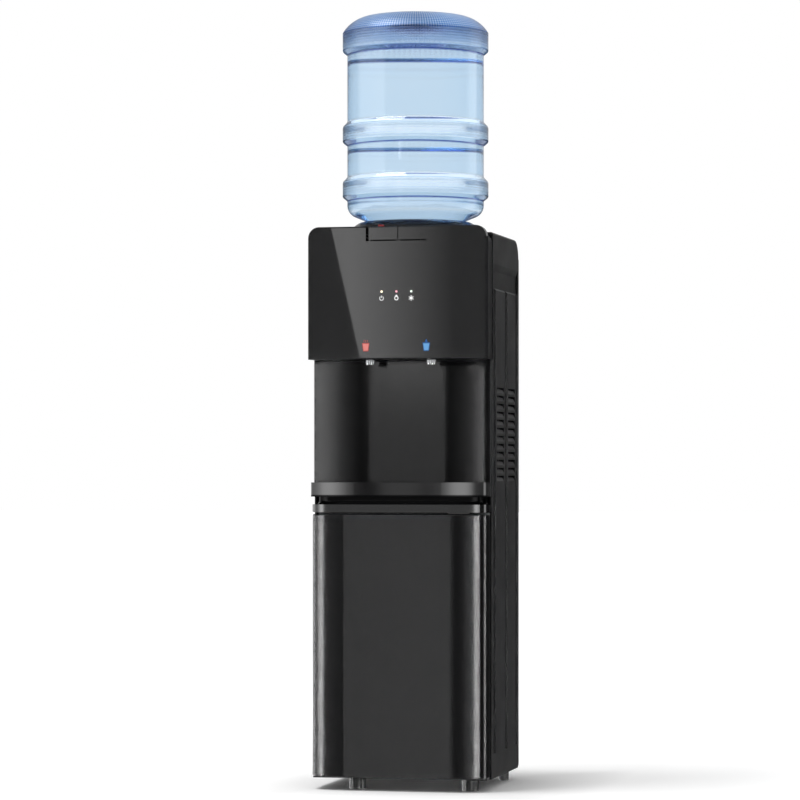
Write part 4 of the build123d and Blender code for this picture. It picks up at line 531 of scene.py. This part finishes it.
# %% Outside of the bottle
BODY, BAND, WALL = 124.5, 133.0, 2.0
FOLDS = (1064.0, 1164.5, 1330.0)
SHOULDER = (102.5, 1056.0)
CROWN = (80.0, 1338.2)
outer = [(27.5, 945.6, 0), (27.5, 997.6, 4), (36.5, 1005.4, 5), (110.7, 1035.6, 0)]
outer_line = rounded(outer) + arc(SHOULDER, 22.0, -66, 0, 10)
ribs = []
for low in FOLDS[:2]:
    ribs += [(BODY, low, 2.0), (BAND, low + 7, 5), (BAND, low + 34, 6), (BODY, low + 43, 6)]
ribs = [(BODY, 1057.0, 0)] + ribs + [(BODY, FOLDS[2], 2.0), (BAND, FOLDS[2] + 7, 5), (BAND, 1369.0, 0)]
outer_line += rounded(ribs)
outer_line += arc(CROWN, 61.8, 31, 88, 24)
outer_line += rounded([(79.5, 1400.0, 0), (74.0, 1398.6, 5.0), (38.0, 1374.0, 30.0), (0.0, 1366.0, 0)])
print("outer line", len(outer_line), "points")

# %% Inside of the bottle
inner = [(0.0, 1363.4, 0), (38.0, 1371.4, 30.0), (73.0, 1396.0, 5.0), (79.0, 1397.6, 0)]
inner_line = rounded(inner) + arc(CROWN, 59.6, 87, 32, 20)
wall = [(BAND - WALL, 1368.0, 0)]
for low in reversed(FOLDS):
    if low in FOLDS[:2]:
        wall += [(BODY - WALL, low + 45, 5), (BAND - WALL, low + 35, 5)]
    wall += [(BAND - WALL, low + 8.5, 4), (BODY - 2.6, low + 1.8, 1.0), (BODY - 2.6, low - 0.8, 1.0)]
    wall += [(BODY - WALL, low - 4.0, 2)]
inner_line += rounded(wall + [(BODY - WALL, 1057.0, 0)])
inner_line += arc(SHOULDER, 20.0, 0, -66, 10)
inner_line += rounded([(109.8, 1037.6, 0), (35.6, 1007.6, 4), (25.5, 998.8, 5), (25.5, 945.6, 0)])
print("inner line", len(inner_line), "points")

# %% [markdown]
# Two small functions say, for a point of the section, how deep the grip is and how much painted shade it gets.
# Then the closed section is turned, and the new bottle stands for the four CAD nodes.

# %% The bottle
def grip_at(point):
    """Deep diamonds on the outside of the crown and the base band, shallow ones on the ribs and the shoulder."""
    r, z = point
    if z > 1369.5 and r > 60 and (point - Vector(CROWN)).length > 60.7:
        return 1.0
    if r > BAND - 0.1:
        return 1.0 if z > 1345 else 0.35
    return 0.2 if 1036 < z < 1060 and (point - Vector(SHOULDER)).length > 21 else 0.0


def painted_fold_shade_at(point):
    """Painted shade on the inside of each fold, where the bead also thickens the plastic, and in the middle of the
    base.
    """
    r, z = point
    if any(low - 1.5 < z < low + 2.5 for low in FOLDS) and r < BODY - 2.2:
        return 1.0
    return max(0.0, min(0.9, (66 - r) / 30)) if z > 1360 else 0.0


section = outer_line + inner_line
numbers = {"grip": [grip_at(point) for point in section], "fold": [painted_fold_shade_at(point) for point in section]}
bottle = turn_section("bottle", section, bottle_plastic, numbers)
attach(bottle, "bottle")
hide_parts("bottle_neck", "bottle_shoulder", "bottle_body", "bottle_base")
bottle.visible_shadow = False

# %% [markdown]
# The bottle is full. The water could stop at the wall, but two surfaces in one place make dark flecks.
# So it reaches a little way into the wall all round, and light passes from plastic to water with no air between.

# %% The water
INTO_WALL_MM = 0.4
inside = list(reversed(inner_line))
wet = []
for index, point in enumerate(inside):
    along = inside[min(index + 1, len(inside) - 1)] - inside[max(index - 1, 0)]
    wet.append(point + Vector((along.y, -along.x)).normalized() * INTO_WALL_MM)
wet[-1].x = 0.0
water = turn_section("water", [Vector((0.0, wet[0].y))] + wet, water_clear)
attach(water, "bottle")
water.visible_shadow = False

# %% [markdown]
# ## Springs under the buttons
#
# Each button stands on a coil spring of 8 turns, and the button goes down 4.5 mm.
# These wound springs stand for the CAD ones, which can't shorten.
# A curve with a round bevel would wind as well, but a mesh of rings keeps the wire's ends closed.

# %% Springs
TURNS, STEPS, SIDES = 8, 24, 8
WIRE = 0.0005


def coil(name, node):
    """A wire wound round an upright axis inside the node's box."""
    low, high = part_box(node)
    middle = (low + high) / 2
    radius = (high.x - low.x) / 2 - WIRE
    length = high.z - low.z
    mesh = bmesh.new()
    rings = []
    for step in range(TURNS * STEPS + 1):
        angle = 2 * math.pi * step / STEPS
        out = Vector((math.cos(angle), math.sin(angle), 0.0))
        z = low.z + WIRE + (length - 2 * WIRE) * step / (TURNS * STEPS)
        core = Vector((middle.x, middle.y, z)) + out * radius
        ring = []
        for side in range(SIDES):
            spoke = 2 * math.pi * side / SIDES
            ring.append(mesh.verts.new(core + (out * math.cos(spoke) + Vector((0, 0, math.sin(spoke)))) * WIRE))
        rings.append(ring)
    for first, second in zip(rings, rings[1:]):
        for side in range(SIDES):
            after = (side + 1) % SIDES
            mesh.faces.new((first[side], first[after], second[after], second[side])).smooth = True
    for end in (rings[0], rings[-1]):
        mesh.faces.new(end)
    made = make_piece(name, mesh, spring_wire)
    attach(made, "cabinet")
    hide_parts(node)
    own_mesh(made)
    print(name, "length in mm", round(length * 1000, 1))


coil("spring_hot", "button_spring_hot")
coil("spring_cold", "button_spring_cold")

# %% [markdown]
# ## Printed marks
#
# The symbols on the panel are printed. A picture could carry them, but it would blur close up.
# Here they are thin raised inlays, built from strips and rings in the plane of the panel.
# Each shape is a list of outlines in millimetres, counted from the symbol's middle.

# %% Mark tools
FACE_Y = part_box("control_panel")[0].y
INK_MM = 0.12
ROOT = 0.00002


def strip(x0, z0, x1, z1, width):
    """A straight stroke."""
    along = Vector((x1 - x0, z1 - z0)).normalized() * width / 2
    x, z = -along.y, along.x
    return [(x0 + x, z0 + z), (x0 - x, z0 - z), (x1 - x, z1 - z), (x1 + x, z1 + z)]


def ring_part(radius, width, start, end, steps):
    """A piece of a ring, as short outlines, angles in degrees from the top, clockwise."""
    shapes = []
    for step in range(steps):
        corners = []
        for part, r in ((0, radius), (1, radius), (1, radius - width), (0, radius - width)):
            angle = math.radians(start + (end - start) * (step + part) / steps)
            corners.append((r * math.sin(angle), r * math.cos(angle)))
        shapes.append(corners)
    return shapes


def inlay(name, shapes, x_mm, z_mm, finish):
    """Flat outlines raised a little from the panel's face, and rooted a little behind it."""
    mesh = bmesh.new()
    for shape in shapes:
        spots = [(x_mm + x, z_mm + z) for x, z in shape]
        back = [mesh.verts.new((x / 1000, FACE_Y + ROOT, z / 1000)) for x, z in spots]
        front = [mesh.verts.new((x / 1000, FACE_Y - INK_MM / 1000, z / 1000)) for x, z in spots]
        mesh.faces.new(front)
        for index in range(len(spots)):
            after = (index + 1) % len(spots)
            mesh.faces.new((back[index], back[after], front[after], front[index]))
    made = make_piece(name, mesh, finish)
    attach(made, "cabinet")


print("marks stand on the plane y", round(FACE_Y, 4))

# %% [markdown]
# Three symbols sit under the lamps, 27 mm apart: a broken ring with a bar for power, a drop for heat
# and a flake for cold. Nothing here belongs to one maker.

# %% Symbols under the lamps
SYMBOL_Z, APART = 879.3, 27.0
power = ring_part(4.1, 1.1, 32, 328, 24) + [strip(0, 4.9, 0, 0.8, 1.1)]
inlay("mark_power", power, -APART, SYMBOL_Z, white_ink)
heat = ring_part(3.9, 1.6, 0, 360, 28) + [strip(-1.9, 3.2, 0.3, 6.0, 1.5)] + [strip(1.9, 3.2, 0.3, 6.0, 1.5)]
inlay("mark_heat", heat, 0.0, SYMBOL_Z, white_ink)
flake = []
for spot in range(6):
    angle = math.radians(60 * spot)
    flake.append(strip(0, 0, 5.0 * math.sin(angle), 5.0 * math.cos(angle), 1.25))
flake += ring_part(2.3, 2.3, 0, 360, 18)
inlay("mark_cold", flake, APART, SYMBOL_Z, white_ink)

# %% [markdown]
# Above each spout is a cup: red with steam for hot water, blue with a drop for cold.
# Its filling is a paler ink than its edge, so the two are separate pieces.

# %% Cups above the spouts
CUP_Z = 794.0


def cup(name, x_mm, outline, pale, above):
    """A tumbler: its filling in a pale ink, its edge in a darker one, and a sign above it."""
    filling = [[(-5.4, 4.4), (-3.8, -7.6), (3.8, -7.6), (5.4, 4.4)]]
    edge = [strip(-6.4, 5.2, 6.4, 5.2, 1.3), strip(-6.1, 5.0, -4.3, -8.4, 1.0), strip(6.1, 5.0, 4.3, -8.4, 1.0)]
    edge += [strip(-4.5, -8.4, 4.5, -8.4, 1.2)]
    inlay(name + "_outline", edge + above, x_mm, CUP_Z, outline)
    inlay(name + "_fill", filling, x_mm, CUP_Z, pale)


steam = [strip(x, 7.4, x + 0.8, 11.0, 0.8) for x in (-3.6, -0.4, 2.8)]
drop = [[(0.0, 12.4), (-2.0, 8.8), (0.0, 7.2), (2.0, 8.8)], strip(-3.0, 6.8, 3.0, 6.8, 1.0)]
cup("mark_hot_cup", -56.0, red_ink, pale_red_ink, steam)
cup("mark_cold_cup", 54.5, blue_ink, pale_blue_ink, drop)

# %% [markdown]
# ## The stage
#
# The floor is white card and catches the shadow. More light would whiten it but also wash out the object.
# So a little emission, for camera rays and rays through the bottle, lifts it to paper white away from the shadow.
# It isn't lifted under the cabinet, then more and more up to 200 mm from its edge, and once more far off,
# so the floor round the cabinet is painted darker than the rest, beside its real shadow.
# The floor isn't seen in reflections, so the door mirrors the same studio above and below its middle.

# %% Floor
HALF_FLOOR = 40
HALF_CABINET = 0.16


def flat_sheet(name, corners):
    """A four-cornered sheet."""
    data = bpy.data.meshes.new(name)
    data.from_pydata(corners, [], [tuple(range(len(corners)))])
    made = bpy.data.objects.new(name, data)
    scene.collection.objects.link(made)
    return made


floor = flat_sheet("floor", [(HALF_FLOOR * x, HALF_FLOOR * y, 0) for x, y in ((-1, -1), (1, -1), (1, 1), (-1, 1))])
paper, tree, shader = new_material("white_floor")
rays = add(tree, "LightPath")
seen = rays.outputs["Is Camera Ray"], rays.outputs["Is Transmission Ray"]
lift = add(tree, "Math", seen, operation="MAXIMUM")
where = add(tree, "SeparateXYZ", [add(tree, "TexCoord").outputs["Object"]])
sides = []
for axis in "XY":
    reach = add(tree, "Math", [where.outputs[axis]], operation="ABSOLUTE")
    sides.append(add(tree, "Math", (reach, HALF_CABINET), operation="SUBTRACT"))
away = add(tree, "Math", sides, operation="MAXIMUM")
# Painted shade: near the cabinet the floor is lifted less.
near = add(tree, "MapRange", (away, -0.03, 0.20, 0.0, 0.34))
far = add(tree, "MapRange", (away, 0.4, 2.0, 0.0, 0.5))
paint = add(tree, "Math", (near, far), operation="ADD")
fill(shader, {"Base Color": linear("#F4F4F4"), "Roughness": 0.9, "Specular IOR Level": 0.0})
glow = add(tree, "Math", (lift, paint), operation="MULTIPLY")
fill(shader, {"Emission Color": linear("#FFFFFF"), "Emission Strength": glow})
floor.data.materials.append(paper)
floor.visible_glossy = False
print("floor", 2 * HALF_FLOOR, "m wide")

# %% [markdown]
# ## The studio
#
# Polished black shows only what it mirrors, so the studio is built for the reflections.
# Camera rays and rays through the bottle see white. Mirrored rays see a dim room, set by direction:
# one angle goes round the object from its front, and a table of angle and brightness paints it.
# A panorama picture is the usual way, and a table is the same thing with only the rows that matter.

# %% Light by angle
BRIGHTEST = 10.0


def by_angle(tree, way, table):
    """Brightness from rows of (degrees round from the front, value), with straight lines between them."""
    ahead = add(tree, "Math", (way.outputs["Y"], -1.0), operation="MULTIPLY")
    turned = add(tree, "Math", (way.outputs["X"], ahead), operation="ARCTAN2")
    part = add(tree, "Math", (turned, 2 * math.pi), operation="DIVIDE")
    ramp = add(tree, "ValToRGB", [add(tree, "Math", (part, 0.5), operation="ADD")])
    while len(ramp.color_ramp.elements) < len(table):
        ramp.color_ramp.elements.new(0.5)
    for element, (angle, value) in zip(ramp.color_ramp.elements, table):
        element.position = (angle + 180) / 360
        element.color = (value / BRIGHTEST, value / BRIGHTEST, value / BRIGHTEST, 1.0)
    return add(tree, "Math", (ramp, BRIGHTEST), operation="MULTIPLY")


print("tables may go up to", BRIGHTEST)

# %% [markdown]
# Above the height of the cabinet a second, slightly lighter table takes over.
# The ground is pale, and so is the sky behind the object. A rise is the sine of the angle above the horizon.

# %% The room that is mirrored
AROUND = [(-180, 0.03), (-60, 0.05), (0, 0.04), (60, 0.05), (110, 0.03), (180, 0.03)]
UPPER = [
    (-180, 0.5), (-140, 0.2), (-105, 0.2), (-38, 0.4), (-5, 0.25), (60, 0.25), (105, 0.3), (140, 0.4), (180, 0.5),
]
world = bpy.data.worlds.new("studio")
scene.world = world
world.use_nodes = True
tree = world.node_tree
way = add(tree, "SeparateXYZ", [add(tree, "TexCoord").outputs["Generated"]])
deep, rise = way.outputs["Y"], way.outputs["Z"]
up = add(tree, "MapRange", (rise, 0.072, 0.078, 0.0, 1.0))
not_up = add(tree, "Math", (1.0, up), operation="SUBTRACT")
lower = add(tree, "Math", (by_angle(tree, way, AROUND), not_up), operation="MULTIPLY")
upper = add(tree, "Math", (by_angle(tree, way, UPPER), up), operation="MULTIPLY")
room = add(tree, "Math", (lower, upper), operation="ADD")
ground = add(tree, "MapRange", (rise, -0.25, -0.12, 1.0, 0.0))
pale = add(tree, "MapRange", (deep, -0.1, 0.4, 0.32, 0.75))
lit_ground = add(tree, "Math", (ground, pale), operation="MULTIPLY")
sky = add(tree, "MapRange", (rise, 0.24, 0.34, 0.0, 0.25))
behind = add(tree, "MapRange", (deep, 0.2, 0.6, 0.0, 1.0))
lit_sky = add(tree, "Math", (sky, behind), operation="MULTIPLY")
beyond = add(tree, "Math", (lit_ground, lit_sky), operation="ADD")
mirrored = add(tree, "Math", (room, beyond), operation="ADD")
print("rows of the two tables", len(AROUND), len(UPPER))

# %% [markdown]
# Now the world chooses by the kind of ray: white where it is seen, the room where it is mirrored,
# and an even soft light for everything else.
# Light that crosses the bottle meets many walls, so paths may be longer than usual.

# %% World
SOFT_LIGHT = 0.55
rays = add(tree, "LightPath")
glossy = rays.outputs["Is Glossy Ray"]
seen = add(tree, "Math", (rays.outputs["Is Camera Ray"], rays.outputs["Is Transmission Ray"]), operation="MAXIMUM")
not_seen = add(tree, "Math", (1.0, seen), operation="SUBTRACT")
not_glossy = add(tree, "Math", (1.0, glossy), operation="SUBTRACT")
soft = add(tree, "Math", (not_glossy, SOFT_LIGHT), operation="MULTIPLY")
shown = add(tree, "Math", (glossy, mirrored), operation="MULTIPLY")
unseen = add(tree, "Math", (shown, soft), operation="ADD")
unseen = add(tree, "Math", (not_seen, unseen), operation="MULTIPLY")
strength = add(tree, "Math", (unseen, seen), operation="ADD")
fill(tree.nodes["Background"], {"Color": linear("#FFFFFF"), "Strength": strength})
scene.cycles.max_bounces = 24
scene.cycles.transparent_max_bounces = 16
scene.cycles.glossy_bounces = 16
scene.cycles.transmission_bounces = 24
print("world", len(tree.nodes), "nodes")

# %% [markdown]
# Rings of light stand round the object, and only reflections see them. Lamps would do, but they also light
# the floor. Each ring is painted by angle from a table, and lights only the pieces in its list,
# as a photographer flags a lamp. The rings have different radii, because two in one place hide each other.

# %% Ring tools
RING_STEPS = 144
RING_FOOT, RING_TOP = -3.0, 4.0
RING_Y = -0.1


def glow_material(name):
    """Light added to what lies behind a sheet: the material, its tree and its light."""
    made = bpy.data.materials.new(name)
    made.use_nodes = True
    tree = made.node_tree
    tree.nodes.clear()
    light = add(tree, "Emission")
    both = add(tree, "AddShader", (light, add(tree, "BsdfTransparent")))
    add(tree, "OutputMaterial", {"Surface": both})
    return made, tree, light


def only_mirrored(sheet, material):
    """Only reflections see this sheet."""
    sheet.data.materials.append(material)
    material.cycles.emission_sampling = "NONE"
    sheet.visible_camera = False
    sheet.visible_diffuse = False
    sheet.visible_transmission = False
    sheet.visible_shadow = False


def ring_card(name, radius, table, pieces, fade=(3.9, 4.0, 0.0)):
    """An upright ring of light for some pieces; between two heights it drops to a share of itself."""
    turns = [2 * math.pi * step / RING_STEPS for step in range(RING_STEPS + 1)]
    points = [(radius * math.sin(a), -radius * math.cos(a), z) for a in turns for z in (RING_FOOT, RING_TOP)]
    data = bpy.data.meshes.new(name)
    data.from_pydata(points, [], [(2 * n, 2 * n + 2, 2 * n + 3, 2 * n + 1) for n in range(RING_STEPS)])
    made = bpy.data.objects.new(name, data)
    made.location.y = RING_Y
    scene.collection.objects.link(made)
    material, tree, light = glow_material(name + "_light")
    where = add(tree, "SeparateXYZ", [add(tree, "TexCoord").outputs["Object"]])
    start, end, share = fade
    level = add(tree, "MapRange", (where.outputs["Z"], start, end, 1.0, share))
    fill(light, {"Strength": add(tree, "Math", (by_angle(tree, where, table), level), operation="MULTIPLY")})
    only_mirrored(made, material)
    group = bpy.data.collections.new(name + "_pieces")
    for piece in pieces:
        group.objects.link(nodes[piece])
    made.light_linking.receiver_collection = group
    print(name, "rows", len(table), "pieces", len(pieces))
    return made


print("rings stand from", RING_FOOT, "to", RING_TOP, "m")

# %% [markdown]
# The first ring serves the bowed door and most other pieces. Its narrow bright rows are strip lamps,
# which draw the upright lines near the door's edges, and it fades over the height of the control panel.
# The shelf under the tray has its own ring, the same but never quite dark in front.

# %% Rings for the door and the shelf
DOOR = [
    (-180, 0.0), (-150, 0.0), (-135, 0.6), (-120, 3.1), (-105, 2.5), (-72, 1.3), (-66, 1.5), (-63.5, 9.0),
    (-57.5, 9.0), (-54, 0.6), (-42, 0.3), (-30, 0.23), (-17, 0.07), (-15.5, 0.9), (-8.8, 0.9), (-4, 0.06),
    (7, 0.08), (14, 0.2), (27, 0.9), (33, 1.4), (37.5, 10.0), (40.5, 10.0), (43.5, 0.25), (57, 0.03),
    (80, 0.05), (88, 4.5), (97, 4.5), (106, 0.0), (180, 0.0),
]
SHELF = [(angle, max(level, 0.85) if -54 <= angle <= 27 else level) for angle, level in DOOR]
bottle_names = "bottle_neck bottle_shoulder bottle_body bottle_base"
kept_out = ("alcove drip_tray tray_shelf " + bottle_names).split()
ring_card("door_ring", 6.0, DOOR, [name for name in nodes if name not in kept_out], (0.814, 1.008, 0.30))
ring_card("shelf_ring", 5.4, SHELF, ["tray_shelf"])

# %% [markdown]
# The alcove's cheeks curve smoothly, so their ring rises slowly to both sides.
# The tray's lip is bowed and its ends are round. Its ring stands close, which spreads the lamps along the lip.
# The back has a soft light behind it, so that its tubes and slots can be told apart.

# %% Rings for the alcove, the tray and the back
ALCOVE = [
    (-180, 0.0), (-150, 1.0), (-105, 2.0), (-84, 1.7), (-72, 1.1), (-62, 0.55), (-50, 0.25), (-30, 0.04),
    (-20, 0.0), (-17, 0.66), (-9, 0.66), (-5, 0.02), (6, 0.02), (20, 0.2), (32, 0.5), (47, 1.4), (58, 2.1),
    (70, 2.5), (110, 2.5), (150, 0.0), (180, 0.0),
]
TRAY = [
    (-180, 0.0), (-100, 3.0), (-60, 2.2), (-38, 2.2), (-35.5, 5.6), (-31, 5.6), (-21.5, 0.7), (-19, 0.05),
    (-16, 0.05), (-14, 0.84), (-8, 0.84), (-5.5, 0.35), (-2, 0.8), (3, 4.4), (6, 5.2), (10, 5.2), (12.8, 3.6),
    (14.3, 0.6), (16, 0.25), (17.6, 0.3), (26, 1.8), (45, 4.4), (62, 4.4), (75, 2.2), (95, 0.1), (180, 0.0),
]
BACK = [(-180, 1.1), (-150, 0.8), (-115, 0.15), (-90, 0.0), (90, 0.0), (115, 0.15), (150, 0.8), (180, 1.1)]
rear_names = (
    "rear_panel rear_top_cover rear_screws compressor condenser_tube condenser_wires control_box switch_bezel "
    "switch_cooling switch_heating drain_outlet drain_cap cord_gland base_plate compressor_grommets"
)
ring_card("alcove_ring", 5.8, ALCOVE, ["alcove"])
ring_card("tray_ring", 0.55, TRAY, ["drip_tray"])
ring_card("back_ring", 5.6, BACK, rear_names.split())

# %% [markdown]
# The last ring hangs two broad soft boxes beside the bottle, which draw pale bands on it.

# %% Soft boxes for the bottle
BOXES = [
    (-180, 0), (-105, 0), (-92, 1.1), (-44, 1.1), (-38, 0), (105, 0), (118, 1.1), (134, 1.1), (140, 0), (180, 0),
]
boxes = ring_card("bottle_ring", 5.2, BOXES, bottle_names.split())
for piece in (bottle, water):
    boxes.light_linking.receiver_collection.objects.link(piece)

# %% [markdown]
# A flat sheet with a slanted left edge stands about 3 m in front and draws the sheen on the control panel.
# The edge leans 78 mm to the left over 342 mm of height, and the light fades to the right of it.

# %% Sheen on the control panel
CARD_Y, LEFT, RIGHT, LOW, HIGH = -3.165, -1.3, 0.1, 0.80, 1.45
EDGE_X, EDGE_Z, SLOPE = -0.7765, 0.878, -0.078 / 0.342
EVEN_LIGHT = 0.17
around = ((LEFT, LOW), (RIGHT, LOW), (RIGHT, HIGH), (LEFT, HIGH))
panel_card = flat_sheet("panel_card", [(x, CARD_Y, z) for x, z in around])
sheen, tree, light = glow_material("slanted_sheen")
where = add(tree, "SeparateXYZ", [add(tree, "TexCoord").outputs["Object"]])
height = add(tree, "Math", (where.outputs["Z"], EDGE_Z), operation="SUBTRACT")
lean = add(tree, "Math", (height, SLOPE), operation="MULTIPLY")
line = add(tree, "Math", (lean, EDGE_X), operation="ADD")
past = add(tree, "Math", (where.outputs["X"], line), operation="SUBTRACT")
edge = add(tree, "MapRange", (past, -0.001, 0.001, 0.0, 1.0))
fade = add(tree, "MapRange", (where.outputs["X"], -0.80, -0.52, 2.45, 0.02))
bright = add(tree, "Math", (edge, fade), operation="MULTIPLY")
fill(light, {"Strength": add(tree, "Math", (bright, EVEN_LIGHT), operation="ADD")})
only_mirrored(panel_card, sheen)

# %% [markdown]
# One broad lamp hangs high on the left. It gives the soft shadow to the lower right.
# It is left out of reflections, which the rings already give.

# %% Lamp
LAMP_PLACE, LAMP_TARGET = Vector((-1.1, -0.7, 3.2)), Vector((0.0, 0.0, 0.3))
lamp_data = bpy.data.lights.new("overhead_box", "AREA")
lamp_data.size = 1.5
lamp_data.energy = 62.0
key = bpy.data.objects.new("overhead_box", lamp_data)
key.location = LAMP_PLACE
key.rotation_euler = (LAMP_TARGET - LAMP_PLACE).to_track_quat("-Z", "Y").to_euler()
scene.collection.objects.link(key)
key.visible_glossy = False
print("lamp is", round((LAMP_TARGET - LAMP_PLACE).length, 2), "m away")

# %% [markdown]
# ## The camera
#
# The camera stands to the right of the object and looks level, a little to the left.
# A long lens keeps the sides nearly parallel, and a small upward shift frames the bottle.
# Tilting the camera up would frame it too, but then the upright edges would lean.

# %% Camera
lens_data = bpy.data.cameras.new("camera")
lens_data.lens = 153.37
lens_data.sensor_width = 36.0
lens_data.shift_y = 0.0883
camera = bpy.data.objects.new("camera", lens_data)
camera.location = (1.3334, -6.0858, 0.5721)
camera.rotation_euler = (math.radians(90), 0.0, math.radians(12.63))
scene.collection.objects.link(camera)
scene.camera = camera
scene.view_settings.view_transform = "Standard"
print("camera is", round(camera.location.length, 2), "m from the origin")
